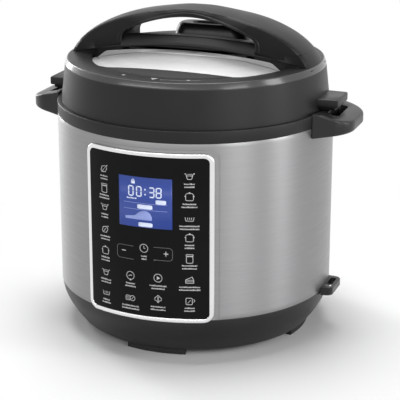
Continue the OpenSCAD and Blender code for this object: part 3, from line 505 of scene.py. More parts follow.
print("the bowl is", round(bowl_radius(bowl_z0), 1), "mm in radius below and",
      round(bowl_radius(bowl_z1), 1), "mm above")

# %% Base bowl
def bowl_part():
    """Grid over angle and height with the quads at the inlet left out."""
    half = math.degrees(math.asin((inlet_hi[0] + 0.6) / 130))
    a = np.radians(dense(0, 358.5, (90 - half, 90 + half), 240, reach=0.0, close=1))
    z = np.linspace(bowl_z0 + 1.2, bowl_z1, 40)
    z = np.unique(np.concatenate([z, [inlet_lo[2] - 0.6, inlet_hi[2] + 0.6]]))
    a, z = np.meshgrid(a, z, indexing="ij")
    r = bowl_radius(z)
    t = np.linspace(0, np.pi / 2, 5)[:-1]
    foot_r = floor_r - 1.2 + 1.2 * np.sin(t)
    foot_z = bowl_z0 + 1.2 - 1.2 * np.cos(t)
    ones = np.ones((len(a), 1))
    r = np.column_stack([ones * 100, ones * foot_r, r])
    z = np.column_stack([ones * bowl_z0, ones * foot_z, z])
    a = np.column_stack([np.repeat(a[:, :1], 5, 1), a])
    points = np.stack([r * np.cos(a), r * np.sin(a), z], -1)
    faces = grid_faces(len(points), points.shape[1], True)
    middle = points.reshape(-1, 3)[faces].mean(1)
    hole = ((np.abs(middle[:, 0]) < inlet_hi[0] + 0.6) & (middle[:, 1] > 0)
            & (middle[:, 2] > inlet_lo[2] - 0.6) & (middle[:, 2] < inlet_hi[2] + 0.6))
    return part_of(points, faces[~hole])


piece("base_bowl", bowl_part(), "base", base_black, wall=2.6, replaces=("base",))

# %% Base lip and inlet surround
lip = turned(rounded([(137.0, 44.2), (137.0, 49.8), (134.6, 49.8), (134.6, 44.2)], 0.4, 3))
SURROUND = ((35.5, 25.5, 112), (35.5, 25.5, 124.6), (34.5, 24.5, 125.9), (29.6, 21.6, 125.9),
            (28.6, 20.6, 124.9), (28.6, 20.6, 112))
surround, faces = ribs([at_height(rounded_box(w, h, 2, steps=5), y) for w, h, y in SURROUND], close=True)
surround = surround[:, [0, 2, 1]] * (-1, 1, 1) + (0, 0, (inlet_lo[2] + inlet_hi[2]) / 2), faces
piece("base_lip", lip, "base", base_black)
piece("inlet_surround", surround, "base", base_black, sharp=50)

# %% Top ring
ring_z1 = box("top_ring")[1][2]
ring_profile = rounded([(134, ring_z1), (138, ring_z1), (138, drum_z1 + 0.5), (137.4, drum_z1),
                        (137, drum_z1), (137, drum_z1 - 8), (134.8, drum_z1 - 8), (134.8, 222.9),
                        (126, 222.9), (126, 225.9), (134, 225.9)],
                       [0.5, 0.9, 0.3, 0, 0, 0.3, 0.3, 0.3, 0.4, 0.4, 0.4], 4)
piece("top_ring_shell", turned(ring_profile), "top_ring", ring_black, replaces=("top_ring",))

# %% [markdown]
# ## Feet
# The cooker stands on four rubber arcs under the rim of its floor. An arc is a section carried round the
# axis, like a turned shell that stops, so the same helper also makes the lid's lugs further on.

# %% Feet
def arcs(section, half, middles, steps):
    """A closed (radius, height) section carried over an arc of half degrees to each side of every middle."""
    a = np.radians(np.linspace(-half, half, steps))
    return joined(*(ribs(around(a + q, section[:, 0], section[:, 1])) for q in np.radians(middles)))


def feet_part():
    """Four arcs of 30 degrees, with their lower edges rounded."""
    section = rounded([(105.8, 0), (116.8, 0), (116.8, 6.4), (105.8, 6.4)], [1.2, 1.2, 0, 0], 4)
    return arcs(section, 15, np.arange(4) * 90, 25)


piece("foot_pads", feet_part(), "feet", rubber, replaces=("feet",))

# %% [markdown]
# ## Side handles
# Each handle is a shallow cup with a D-shaped outline, whose top slopes down to its tip. The cup's
# outlines are stacked from the underside up the outer wall, over the rim and down into the socket, and the
# outlines have the same number of points because each is read off along the same rays.

# %% Reading outlines off by rays
RING_R = 138.1


def on_ring(y0, y1, count):
    """Points on the ring's outside, where a fitting starts: x = sqrt(R^2 - y^2)."""
    y = np.linspace(y0, y1, count)
    return np.stack([np.sqrt(RING_R ** 2 - y ** 2), y], -1)


def by_rays(outline, centre, count=144):
    """Reads a closed outline off along even rays from a point inside it: each ray's distance is the
    nearest one at which it crosses a side between that side's two ends."""
    q = np.asarray(outline) - centre
    step = np.roll(q, -1, 0) - q
    a = np.linspace(-np.pi, np.pi, count, endpoint=False) + 0.013
    d = np.stack([np.cos(a), np.sin(a)], -1)[:, None]
    den = d[..., 0] * step[:, 1] - d[..., 1] * step[:, 0]
    den = np.where(np.abs(den) < 1e-9, 1e-9, den)
    far = (q[:, 0] * step[:, 1] - q[:, 1] * step[:, 0]) / den
    at = (q[:, 0] * d[..., 1] - q[:, 1] * d[..., 0]) / den
    far = np.where((far > 0) & (at >= -1e-6) & (at <= 1 + 1e-6), far, np.inf).min(1)
    return centre + far[:, None] * d[:, 0]


print("a box read by rays has", len(by_rays(rounded_box(10, 6, 2), np.zeros(2))), "points")

# %% Handles
ear_lo, ear_hi = box("side_handle_right")


def handle_part():
    """Stack of outlines: underside, outer wall, sloping rim, socket wall and socket floor. The rim falls
    by 7 mm and the underside rises by 4 mm for each 30 mm outward."""
    middle = np.array([148.6, 0])
    back = on_ring(40.3, -40.3, 41)
    z0, z1 = ear_lo[2], ear_hi[2]

    def outline(inset):
        tip = ear_hi[0] - inset
        front = rounded([back[-1], (tip, -33 + inset), (tip, 33 - inset), back[0]], [0, 24, 24, 0], 20,
                        close=False)
        return by_rays(np.concatenate([front, back]), middle)

    def at(xy, high, drop):
        out = xy[:, 0] - 138
        return at_height(xy, z1 - out * 7 / 30 - drop if high else z0 + out * 4 / 30 + drop)

    socket = [by_rays(rounded_box(10 + 2 * k, 41 + 2 * k, 2.5 + k, 147, 0), middle)
              for k in (1.4, 0.4, 0, 0)]
    rings = [at(outline(k), False, h) for k, h in ((3.0, 0), (1.7, 0.25), (0.5, 1.1), (0, 2.4))]
    rings += [at(outline(k), True, h) for k, h in ((0, 2.2), (0.35, 0.9), (1.1, 0.2), (2.2, 0))]
    rings += [at(socket[0], True, 0), at(socket[1], True, 0.35), at(socket[2], True, 1.4)]
    return ribs(rings + [at_height(socket[3], z0 + 7)])


right = handle_part()
for name, part, node in (("handle_right", right, "side_handle_right"),
                         ("handle_left", mirrored(right), "side_handle_left")):
    piece(name, part, node, handle_black, replaces=(node,))

# %% [markdown]
# ## Control panel
# The panel is a curved sheet of black glass in a chromed frame, both bent to the drum. A point across the
# panel and up it is laid on the drum by y = -sqrt(R^2 - x^2), which keeps its outline square from in front.

# %% Panel frame
def on_panel(u, v, lift):
    """Lays points across (u) and up (v) the panel on a cylinder lift mm outside the drum."""
    u, v, lift = np.broadcast_arrays(u, v, lift)
    return np.stack([u, -np.sqrt((drum_r + lift) ** 2 - u ** 2), v], -1)


def frame_part():
    """Frame section carried round the panel's outline: each point of it has an inset and a lift. The long
    sides are cut into short steps, so that they bend with the drum."""
    section = rounded([(0, 0.1), (0, 2.9), (4.2, 2.9), (4.2, 0.1)], [0, 1.1, 1.1, 0], 5)
    sides = []
    for inset, lift in section:
        o = rounded_box(panel_w - 2 * inset, panel_h - 2 * inset, PANEL_CORNER - inset, steps=9)
        o = np.concatenate([o, o[:1]])
        long = np.linalg.norm(np.diff(o, axis=0), axis=1) > 20
        o = np.concatenate([along(o[k:k + 2], 40)[:-1] if long[k] else o[k:k + 1]
                            for k in range(len(long))])
        sides.append(on_panel(o[:, 0], o[:, 1] + panel_mid, lift))
    return ribs(sides, close=True)


piece("panel_frame_band", frame_part(), "panel_frame", chrome,
      replaces=("panel_frame",))

# %% Panel glass
def plate_part(w, h, r, z, lift, count=97, rows=3):
    """Rectangle with round corners: columns across it, each as tall as the outline is there."""
    u = np.sin(np.linspace(-np.pi / 2, np.pi / 2, count)) * w / 2
    over = np.maximum(np.abs(u) - (w / 2 - r), 0)
    half = h / 2 - (r - np.sqrt(np.maximum(r * r - over ** 2, 0)))
    t = np.linspace(-1, 1, rows)
    return sheet_of(on_panel(u[:, None], half[:, None] * t + z, lift))


glass_lo, glass_hi = box("panel_glass")
glass_w, glass_h = glass_hi[0] - glass_lo[0], glass_hi[2] - glass_lo[2]
glass_lift, GLASS_CORNER = 2.1, 4.8


def glass_finish():
    """Black glass: almost no colour, a clear gloss and the faintest waviness."""
    f = Finish("panel_black")
    slow, fine = f.noise(18, 2), f.noise(700, 2)
    tone = f.mix(slow.ramp(0.3, 0.7), (0.0035, 0.0036, 0.004), (0.0052, 0.0053, 0.0058))
    return f.done(Base_Color=tone, Roughness=fine.ramp(0.3, 0.7, 0.045, 0.075),
                  Normal=f.bump(slow, 0.05, 0.0005), Specular_IOR_Level=0.1)


piece("panel_glass_sheet", plate_part(glass_w, glass_h, GLASS_CORNER, panel_mid, glass_lift),
      "panel_glass", glass_finish(), wall=2.0, bevel=0.3, replaces=("panel_glass",))

# %% [markdown]
# ## Marks on the glass
# The panel's marks are drawn with a pen of constant width on the flat, in millimetres along the arc and up,
# and then laid on the glass. The pictures are plain ones, the captions are rows of short bars without
# letters, and the name's place at the top stays bare.

# %% Pen
MARK_LIFT = glass_lift + 0.06


def pen(points, width=0.55, close=False):
    """Line of constant width: each point moves half the width along the mean normal of its two sides."""
    p = np.asarray(points, float)
    ends = np.concatenate([p[1:], p[:1]]) if close else p[1:]
    steps = [along([a, b], int(np.linalg.norm(b - a) // 3) + 2)[:-1] for a, b in zip(p, ends)]
    p = np.concatenate(steps if close else steps + [p[-1:]])
    ahead, back = np.roll(p, -1, 0) - p, p - np.roll(p, 1, 0)
    if not close:
        ahead[-1], back[0] = back[-1], ahead[0]
    ahead, back = (d / np.maximum(np.linalg.norm(d, axis=1), 1e-9)[:, None] for d in (ahead, back))
    mean = ahead + back
    mean = mean / np.maximum(np.linalg.norm(mean, axis=1), 1e-9)[:, None]
    far = width / 2 / np.maximum((mean * ahead).sum(1), 0.5)
    side = np.stack([-mean[:, 1], mean[:, 0]], -1) * far[:, None]
    both = np.stack([p + side, p - side], 1)
    return both.reshape(-1, 2), grid_faces(len(p), 2, close).tolist()


print("a straight stroke of 10 mm has", len(pen([(0, 0), (10, 0)])[1]), "faces")

# %% Filled shapes
def filled(outline):
    """One flat face inside an outline."""
    return np.asarray(outline, float), [list(range(len(outline)))]


def between(x, low, high):
    """Strip of faces from a lower to an upper line, in short steps so that it can bend with the glass."""
    fine = np.linspace(x[0], x[-1], int((x[-1] - x[0]) // 2) + 2)
    ends = np.stack([np.column_stack([fine, np.interp(fine, x, k)]) for k in (low, high)], 1)
    return ends.reshape(-1, 2), grid_faces(len(fine), 2).tolist()


def circle(x, z, r, count=32, start=0.0, end=360.0):
    """Points round a circle, or round a part of it from one angle to another, in degrees."""
    a = np.radians(np.linspace(start, end, count, endpoint=end - start < 360))
    return np.stack([x + r * np.cos(a), z + r * np.sin(a)], -1)


print("a circle of 2 mm is", np.ptp(circle(0, 0, 1), axis=0), "mm over all")

# %% Captions
def shifted(marks, x, z):
    """Marks moved to a place on the panel."""
    return [(p + (x, z), f) for p, f in marks]


def caption(width, rows=2, seed=1, height=1.25, pitch=2.9):
    """Rows of short bars of uneven widths, centred below the origin."""
    draw, bars = np.random.default_rng(seed), []
    for row in range(rows):
        long = width * (1 - 0.25 * draw.random())
        edges = np.concatenate([[0], np.cumsum(0.7 + 0.8 * draw.random(int(long / 1.1)))])
        edges = edges / edges[-1] * long - long / 2
        bars += [filled([(a, -row * pitch), (b - 0.3, -row * pitch), (b - 0.3, -row * pitch + height * k),
                         (a, -row * pitch + height * k)])
                 for a, b, k in zip(edges[:-1], edges[1:], 0.75 + 0.5 * draw.random(len(edges)))]
    return bars


print("a caption 13 mm wide has", len(caption(13)), "bars")

# %% Marks as pieces
def marks_piece(name, marks, finish, lift=MARK_LIFT):
    """Lays flat marks on the panel's cylinder as thin printed pieces."""
    flat, faces = joined(*marks)
    turn = flat[:, 0] / (drum_r + lift)
    points = np.stack([(drum_r + lift) * np.sin(turn), -(drum_r + lift) * np.cos(turn), flat[:, 1] + 2], -1)
    return piece(name, (points, faces), "panel_glass", finish, sharp=60, wall=0.04)


def lit(name, colour, glow):
    """Printed or lit mark: an even colour with a faint grain and a glow. A lit mark glows of its own; on a
    printed mark the glow is painted brightness.
    """
    f = Finish(name)
    fine = f.noise(900, 2)
    tone = f.shades(fine, colour, 0.06, 0.05)
    return f.done(Base_Color=tone, Roughness=fine.ramp(0.3, 0.7, 0.3, 0.4), Emission_Color=tone,
                  Emission_Strength=glow, Normal=f.bump(fine, 0.05, 0.00005))


print("marks lie", MARK_LIFT, "mm outside the drum")

# %% [markdown]
# ## Display
# Behind the glass sits a blue liquid crystal display with pale figures. It is drawn as a blue field, with
# the pale marks and a fainter graph a little above it, so that no mark lies in the field's own surface.
# The finishes glow weakly, because such a display is lit from behind.

# %% Digits
def digit(x, z, bars, w=4.6, h=9.2):
    """Seven-bar digit: bars t, l, r, m, L, R and b are the top, upper left, upper right, middle, lower
    left, lower right and bottom ones. Each is 7 % shorter at both ends, which parts it from the next."""
    a, b = w / 2, h / 2
    ends = {"t": ((-a, b), (a, b)), "l": ((-a, 0), (-a, b)), "r": ((a, 0), (a, b)), "m": ((-a, 0), (a, 0)),
            "L": ((-a, -b), (-a, 0)), "R": ((a, -b), (a, 0)), "b": ((-a, -b), (a, -b))}
    shorten = np.array([[0.93, 0.07], [0.07, 0.93]])
    return shifted([pen(shorten @ ends[k], 1.25) for k in bars], x, z)


def box_mark(x0, x1, z, h=4.2):
    """Filled box with cut corners."""
    half = np.array([h / 2 - 0.5, h / 2, h / 2, h / 2 - 0.5])
    return between([x0, x0 + 0.5, x1 - 0.5, x1], z - half, z + half)


print("an eight has", len(digit(0, 0, "tlrmLRb")), "bars")

# %% Display
screen = between([-26.5, 27], [134, 134], [183, 183])
screen_marks = []
for x, bars in ((-13.6, "tlrLRb"), (-5.4, "tlrLRb"), (7.3, "trmRb"), (14.2, "tlrmLRb")):
    screen_marks += digit(x, 169, bars)
screen_marks += [filled(circle(0.9, z, 0.8)) for z in (166.6, 171.4)]
screen_marks += [filled(rounded_box(3.8, 3.0, 0.5, -11.3, 177.6, 4)),
                 pen(circle(-11.3, 179.0, 1.3, 14, 0, 180), 0.6)]
screen_marks += [box_mark(11.1, 21.2, 160), box_mark(-7.2, 8, 154.3), box_mark(-6.2, 8, 136.9)]
screen_marks += shifted(caption(13, 1, 5), -12.8, 161.2)
graph = [pen([(-21.4, z), (22.2, z)], 0.4) for z in (157.6, 151.4)]
graph += [between([-19.9, -10.3, -8, -6.2, -3.5, 0, 3, 5, 6.5, 7.5], [141.4] * 10,
                  [144, 145.2, 146.6, 148.4, 150, 150.7, 150.2, 149, 147.2, 144.4])]
for name, marks, finish, lift in (
        ("display_window", [screen], lit("lcd_blue", (0.017, 0.043, 0.235), 0.42), 0.03),
        ("display_marks", screen_marks, lit("lcd_white", (0.62, 0.68, 0.85), 0.35), 0.1),
        ("display_graph", graph, lit("lcd_pale", (0.24, 0.30, 0.62), 0.3), 0.1)):
    marks_piece(name, marks, finish, glass_lift + lift)

# %% [markdown]
# ## Touch keys
# Each key is a small picture with a caption below it, in two columns and a group in the middle. The real
# print lies on the back of the glass. Here the glass is black right through, so the print lies just above
# its face. A picture is a few strokes round its own origin, drawn once and set down where it is needed.

# %% Strokes
def thin(*points):
    """Thin line through points."""
    return pen(points, 0.45)


def panel_box(w, h, r, x, z, steps):
    """Outlined box with round corners."""
    return pen(rounded_box(w, h, r, x, z, steps), close=True)


print("a box of strokes has", len(panel_box(6, 6, 1, 0, 0, 5)[1]), "faces")

# %% Pictures
PICTURES = {
    "pot": [pen(rounded([(-3.6, 1.8), (-3.6, -3.4), (3.6, -3.4), (3.6, 1.8)], [0, 1.2, 1.2, 0], 5, False)),
            pen([(-4.6, 0.8), (-3.6, 0.8)], 1.0), pen([(4.6, 0.8), (3.6, 0.8)], 1.0),
            pen([(-3.9, 2.2), (-2.2, 3.6), (2.2, 3.6), (3.9, 2.2)]), filled(circle(0, 4.2, 0.8, 10))],
    "bowl": [pen(rounded([(-4.8, 3), (-3.4, 3), (-2, -2.4), (2, -2.4), (3.4, 3), (4.8, 3)],
                         [0, 0.6, 1, 1, 0.6, 0], 5, False)),
             pen([(-3, 1), (3, 1)]), pen([(-2.4, 2.6), (2.4, 2.6)], 0.4)],
    "tray": [pen([(-4.2, 1.8), (-3.4, -1.8), (3.4, -1.8), (4.2, 1.8)])]
            + [pen([(x, 1.6), (x, -0.4)]) for x in (-1.8, 0, 1.8)],
    "jar": [panel_box(6.2, 6.6, 1.2, 0, -1, 5), panel_box(6.6, 1.6, 0.4, 0, 3.4, 3)],
    "leaf": [pen([(-3.6, -1.2), (-2.4, 2.2), (1.6, 3.2), (3.6, 0.6), (1.6, -2.8), (-2.6, -3)], close=True),
             thin((-2.6, -3), (1.2, 1.4)), filled(circle(3.6, 3.4, 0.7, 10))],
    "cake": [pen([(-3.8, -2.8), (-3.8, 0.4), (2.2, 3.4), (3.8, 0.4), (3.8, -2.8)], close=True),
             thin((-3.8, 0.2), (3.8, 0.2)), thin((-3.8, -1.3), (3.8, -1.3))],
    "cup": [panel_box(6, 6.6, 1, -0.6, 0, 5), thin((-2, -2), (1, 1.4)),
            thin(*circle(3.2, 0.6, 1.4, 12, -80, 80))],
    "steam": [pen([(-3.8, 0.4), (0, 3.8), (3.8, 0.4)]), pen([(0, 2.2), (0, -3.4)], 0.8),
              pen([(-1.6, -1.6), (0, -3.6), (1.6, -1.6)], 0.6),
              thin(*circle(-2.4, -0.6, 0.9, 10, 120, 330)), thin(*circle(2.4, -0.6, 0.9, 10, 210, 420))],
    "sheet": [panel_box(4.4, 4.6, 0.8, -2.6, 0, 4), thin((-4, 0.6), (-1.2, 0.6)),
              thin((-4, -0.8), (-1.2, -0.8)), pen(circle(2.2, 0, 2.6, 24), close=True),
              pen([(1.2, -1), (3.2, 1)], 0.5)]}
dial = [pen(circle(0, 0, 4, 36), close=True)]
PICTURES["clock"] = dial + [pen([(0, 0), (0, 2.5)]), pen([(0, 0), (1.4, 0)])]
PICTURES["gauge"] = dial + [pen([(-1.8, -0.6), (0.2, 0.6), (1.8, 0.2)], 0.6),
                            filled(circle(0, -4.2, 0.9, 10))]
PICTURES["play"] = dial + [filled([(-1.1, -1.9), (2.1, 0), (-1.1, 1.9)])]
print("pictures", len(PICTURES))

# %% Touch keys
keys = []


def key(picture, x, z, width, seed, below=7.6):
    """Adds a picture to the keys, with its caption below it."""
    keys.extend(shifted(PICTURES[picture], x, z) + shifted(caption(width, 2, seed), x, z - below))


RIGHT_COLUMN = (("bowl", 186), ("pot", 166.5), ("tray", 145), ("pot", 126.3), ("jar", 105.9),
                ("cake", 84.4), ("cup", 63.2))
LEFT_COLUMN = (("leaf", 185.4), ("jar", 166.5), ("bowl", 147.5), ("leaf", 125.4), ("pot", 104.1),
               ("bowl", 81.7), ("tray", 60.9))
for k, (picture, z) in enumerate(RIGHT_COLUMN):
    key(picture, 43.2, z, 11 + 5 * (k % 3), 20 + k)
for k, (picture, z) in enumerate(LEFT_COLUMN):
    key(picture, -44, z, 11 + 4 * (k % 2), 40 + k)
for picture, x, z, width in (("clock", -1, 113.5, 6), ("gauge", -15.5, 84.2, 12), ("play", 12.8, 85.1, 17),
                             ("sheet", -15.8, 61.3, 20), ("steam", 12.7, 63.8, 17)):
    key(picture, x, z, width, int(z), 8.6)
outlines = [thin(*rounded(corners, [0, 3.2, 3.2, 0], 6, False)) for corners in (
    [(-12, 101), (-29.5, 101), (-29.5, 114.2), (-12, 114.2)], [(9, 115.6), (27, 115.6), (27, 103), (9, 103)])]
minus, plus = pen([(-24.6, 108.7), (-20, 108.7)], 0.8), pen([(18.4, 109.8), (23, 109.8)], 0.8)
keys += [minus, plus, pen([(20.7, 107.4), (20.7, 112.2)], 0.8)]
# The printed keys and outlines glow weakly (0.05): painted brightness, since print gives no light of its own.
marks_piece("touch_keys", keys, lit("print_white_painted_glow", (0.62, 0.62, 0.63), 0.05))
marks_piece("touch_outlines", outlines, lit("print_grey_painted_glow", (0.14, 0.14, 0.145), 0.05))

# %% [markdown]
# ## Lid
# The lid cover is one black moulding: a tapered ring with a bevelled top, two feet that carry the arch, a
# band between them, a tab in front and a fin on each side. The ring is turned, the rest are stacked
# outlines or sections that run into it. The steel dome that shows through the two windows is turned too.

# %% Lid ring
lid_hi = box("lid_cover")[1]
dome_top, window_r = box("pressure_lid")[1][2], 97.0
opening_r = 103.0
lid_profile = rounded([(132.9, 226.4), (133.5, 226.4), (133.9, 230.3), (129.5, 268), (127.5, 273),
                       (opening_r, 271.4), (opening_r, 269.3), (124.9, 270.4), (126.9, 266.7), (131.3, 230.3),
                       (130.9, 226.4)],
                      [0, 0.6, 2, 0.9, 1.0, 1.1, 0.6, 1, 1, 1, 0.6], 7)
piece("lid_ring", turned(lid_profile, 360), "lid_cover", lid_black, replaces=("lid_cover",))

# %% Steel dome
def dome_z(r):
    """Height of the steel dome: it falls by 11.7 mm with the square of the distance from the middle."""
    return dome_top - 11.7 * (np.asarray(r) / window_r) ** 2


def shoulder_line(reach, rise):
    """Quarter of an ellipse from the dome's edge down and outward, round a centre at z = 250."""
    a = np.radians(np.linspace(0, 90, 13))[1:]
    return np.stack([window_r + reach * np.sin(a), 250 + rise * np.cos(a)], -1)


dome_r = np.linspace(0, window_r, 25)
dome_out = [np.stack([dome_r, dome_z(dome_r)], -1), shoulder_line(22.2, 18.6),
            [[119.2, 216.0], [118.0, 216.0]]]
dome_in = [shoulder_line(21, 17.4)[::-1], np.stack([dome_r, dome_z(dome_r) - 1.2], -1)[::-1]]


def lugs_part():
    """Six bayonet lugs: a small rectangle carried over 25.2 degrees."""
    section = rounded([(118.4, 216), (124, 216), (124, 218.7), (118.4, 218.7)], 0.4, 3)
    return arcs(section, 12.6, np.arange(6) * 60 + 30, 15)


piece("steel_dome", joined(turned(np.concatenate(dome_out + dome_in)), lugs_part()), "pressure_lid",
      dome_steel, replaces=("pressure_lid",))

# %% [markdown]
# ## Tab
# In front the cover reaches in over the dome as a flat tab with the marks for closing the lid. It is a
# sheet over a grid, because its free edge is curved in plan and it follows the dome's slope.

# %% Tab in the front window
def tab_part():
    """Height over a grid: the dome's height and 2.35 mm, level past the dome's edge, less a quarter circle
    of 1 mm at the free edge, which is the parabola y = -81 + 8.5 (x / 66)^2."""
    u = np.linspace(-1, 1, 81)
    t = np.concatenate([np.linspace(0, 0.08, 7), np.linspace(0.12, 1, 13)])
    u, t = np.meshgrid(u, t, indexing="ij")
    x = u * 77.5
    y_in = -81 + 8.5 * (x / 66) ** 2
    y = y_in + (-np.sqrt((opening_r + 1.5) ** 2 - x ** 2) - y_in) * t
    drop = 1.0 - np.sqrt(np.maximum(1 - np.maximum(1.0 - (y_in - y), 0) ** 2, 0))
    return sheet_of(np.stack([x, y, dome_z(np.minimum(np.hypot(x, y), window_r + 0.5)) + 2.35 - drop], -1))


piece("lid_tab", tab_part(), "lid_cover", lid_black, wall=1.9)

# %% Marks on the tab
def tab_marks():
    """A triangle that points to the panel, a thin curved line beside it and two small locks, all on the
    ring's upper face, which rises by 2 mm over 30.5 mm outward."""
    def lock(x, y, open_by):
        body = [(x - 1.7, y - 1.2), (x + 1.7, y - 1.2), (x + 1.7, y + 1.2), (x - 1.7, y + 1.2)]
        return [filled(body), pen(circle(x + open_by, y + 1.2, 1.1, 12, 0, 180), 0.45)]

    turn = np.radians(np.linspace(-87, -71, 12))
    line = np.stack([112 * np.cos(turn), 112 * np.sin(turn)], -1)
    marks = [filled([(-5.4, -106.6), (2.4, -106.6), (-1.2, -114.6)]), pen(line, 0.5)] + lock(-34, -104.5, 0)
    marks += lock(31, -105, 1.2) + [pen([(35.6, -103.8), (41.5, -101.6)], 0.9)]
    flat, faces = joined(*marks)
    far = np.hypot(flat[:, 0], flat[:, 1])
    return np.column_stack([flat, 271.14 + (far - window_r) * 2 / 30.5]), faces


piece("tab_marks", tab_marks(), "lid_cover", lit("mark_grey", (0.55, 0.55, 0.55), 0.0),
      sharp=60, wall=0.04)

# %% [markdown]
# ## Feet of the arch
# The arch grows out of the cover on two feet. A foot changes in height, width and edge along its length,
# so no single outline can be pushed or turned into it. It is skinned from sections set side by side along
# the lid, each with the same number of points. The arch's ellipse gives its upper surface, so that foot and
# handle meet in one line.

# %% Heights along the arch and the band
ARCH_A, ARCH_B, ARCH_Z = 130.0, 62.5, 259.0
SEAM_Z, FACE_Y = 285.0, 24.25
LIP_Y, UNDER_Y = -27.0, -24.0


def arch_top(x):
    """Height of the arch's ellipse over a place along the lid."""
    return ARCH_Z + ARCH_B * np.sqrt(np.maximum(1 - (np.asarray(x) / ARCH_A) ** 2, 0))


def lip_z(x):
    """Height of the lip along the front edge of the band: it falls away from the middle."""
    return 287.2 - 10.4 * (np.asarray(x) / 100) ** 2


def arris_drop(x):
    """How far the arch's upper surface rolls down from its middle line to its front and back edges."""
    return 0.9 + 3.0 * smooth(np.abs(x), 8, 50)


print("arch top", float(arch_top(0)), "mm, lip", float(lip_z(0)), "mm in the middle")

# %% Feet of the arch
def haunch_part():
    """Sections across the foot, one behind the other along the lid: an upper surface that follows the
    arch's ellipse and rolls down to both sides, a plain back, and a front with the lip and the undercut,
    which fade into the face away from the band."""
    turn = np.linspace(math.asin(118.0 / ARCH_A), math.asin(127.0 / ARCH_A), 26)
    xs = np.concatenate([np.linspace(61, 117.5, 48), ARCH_A * np.sin(turn)])
    across = np.linspace(-1, 1, 25)
    rings = []
    for x in xs:
        keep = 1 - smooth(x, 69, 112)
        under, nose = -24.1 + 0.1 * keep, -FACE_Y - 2.75 * keep
        low = 268.0 if x < opening_r + 1 else 270.6
        inward = arris_drop(x) * across ** 2 + 2.4 * smooth(np.abs(across), 0.90, 1.0)
        high = np.minimum(SEAM_Z - 0.05, arch_top(np.minimum(x + inward, ARCH_A)))
        lip = min(lip_z(x), high[0] - 1.4)
        front = [(under, -math.inf, 0), (under, -1.4, 0.1), (nose + 0.3, -0.5, 0.2), (nose, 0, 0.3),
                 (nose + 0.2 * keep, 0.7, 0.4), (-FACE_Y, 1.3, 0.45)]
        front = [(y, max(lip + above, low + least)) for y, above, least in front]
        rear = [(FACE_Y + 0.1, low + 0.3), (FACE_Y + 0.1, low)]
        section = np.array(front + list(zip(FACE_Y * across, np.maximum(high, low + 0.5))) + rear)
        rings.append(np.column_stack([np.full(len(section), x), section]))
    return ribs(rings)


haunch = haunch_part()
piece("arch_feet", joined(haunch, mirrored(haunch)), "lid_cover", foot_black, sharp=40)

# %% [markdown]
# ## Band, strip and deck
# Between the feet a band bridges the dome, with a lip along its front edge. Below the lip a bright steel
# strip meets the dome, and behind the band lies the deck that the steam knob stands on. The band and the
# strip have one section that changes slowly across the lid. The deck is a plate with round edges.

# %% Band between the feet
def band_part():
    """Section of the band carried across the lid: its top sinks by 3.2 mm (x / 69)^2, its lip by more."""
    x = np.linspace(-69.5, 69.5, 81)
    rings = []
    for at_x in x:
        top, lip = 295.2 - 3.2 * (at_x / 69) ** 2, lip_z(at_x)
        c = rounded([(-7, 283.6), (-7, top), (-19.5, top), (LIP_Y + 0.8, lip + 1.6), (LIP_Y, lip),
                     (LIP_Y + 0.4, lip - 0.9), (UNDER_Y, lip - 1.8), (UNDER_Y, 276.5), (-12, 276.5)],
                    [0, 2.6, 3.2, 2.4, 0.7, 0.5, 0.6, 0, 0], 6)
        rings.append(np.column_stack([np.full(len(c), at_x), c]))
    return ribs(rings)


piece("lid_band", band_part(), "lid_cover", lid_black)

# %% Strip under the lip
def strip_part():
    """Bright strip below the lip: a thin sheet that leans forward, most in the middle, and meets the dome.
    Its upper edge falls by 8.2 mm (x / 100)^2 and runs out to the sheet's foot at both ends."""
    x = np.linspace(-97.5, 97.5, 98)
    lean = 6.0 * (1 - smooth(np.abs(x), 0, 62))
    top = 281.9 - 8.2 * (x / 100) ** 2
    t = np.linspace(0, 1, 7)[:, None]
    y = -24.9 - lean * t ** 1.5
    foot = dome_z(np.hypot(x, y[-1])) + 0.05
    top = foot + (top - foot) * (1 - smooth(np.abs(x), 84, 97.5))
    return sheet_of(np.stack([np.broadcast_to(x, y.shape), y, top + (foot - top) * t], -1))


piece("band_strip", strip_part(), "lid_cover",
      cast("strip_steel", (0.36, 0.36, 0.365), 0.6, 0.04), wall=0.5)

# %% Deck
def platform_part(outline, z0, z1, top=0.9, low=0.4):
    """Plate with rounded edges: one outline shrunk towards its middle near both faces."""
    middle = outline.mean(0)
    size = np.ptp(outline, axis=0) / 2
    levels = [(z0, low), (z0 + low, 0), (z1 - top, 0), (z1 - top * 0.3, top * 0.3), (z1, top)]
    return ribs([at_height(middle + (outline - middle) * (1 - inset / size), z) for z, inset in levels])


knob_lo, knob_hi = box("steam_knob")
knob_x, knob_y = (knob_lo[:2] + knob_hi[:2]) / 2
knob_l, knob_w = (knob_hi - knob_lo)[:2]


def stadium(l, w, steps=25):
    """Bar with round ends round the steam knob's middle."""
    return rounded_box(l, w, w / 2 - 0.01, knob_x, knob_y, steps)


deck = platform_part(rounded_box(140, 51, 2, 0, 1.5), 280.8, 284.5)
platform = platform_part(stadium(knob_l + 8, knob_w + 8), 280.8, 284.5)
piece("lid_deck", joined(deck, platform), "lid_cover", lid_black)

# %% [markdown]
# ## Fins
# A fin on each side of the cover lies over a side handle, with a peg below it that parks the open lid in
# the handle's socket. Both are stacks of outlines. One is made, and the other is its mirror image.

# %% Fins
def fin_part():
    """Stack of outlines of one fin, slightly smaller near both faces."""
    x1 = lid_hi[0]
    corners = [(x1, -19), (x1, 19), (126, 20.6), (126, -20.6)]
    rings = []
    for z, inset in ((235.1, 0.7), (235.5, 0.15), (236.1, 0), (241.8, 0), (242.6, 0.25), (243.1, 0.9)):
        c = np.array(corners) - [(inset, -inset), (inset, inset), (0, inset), (0, -inset)]
        rings.append(at_height(rounded(c, [1.4, 1.4, 0, 0], 6), z))
    return ribs(rings)


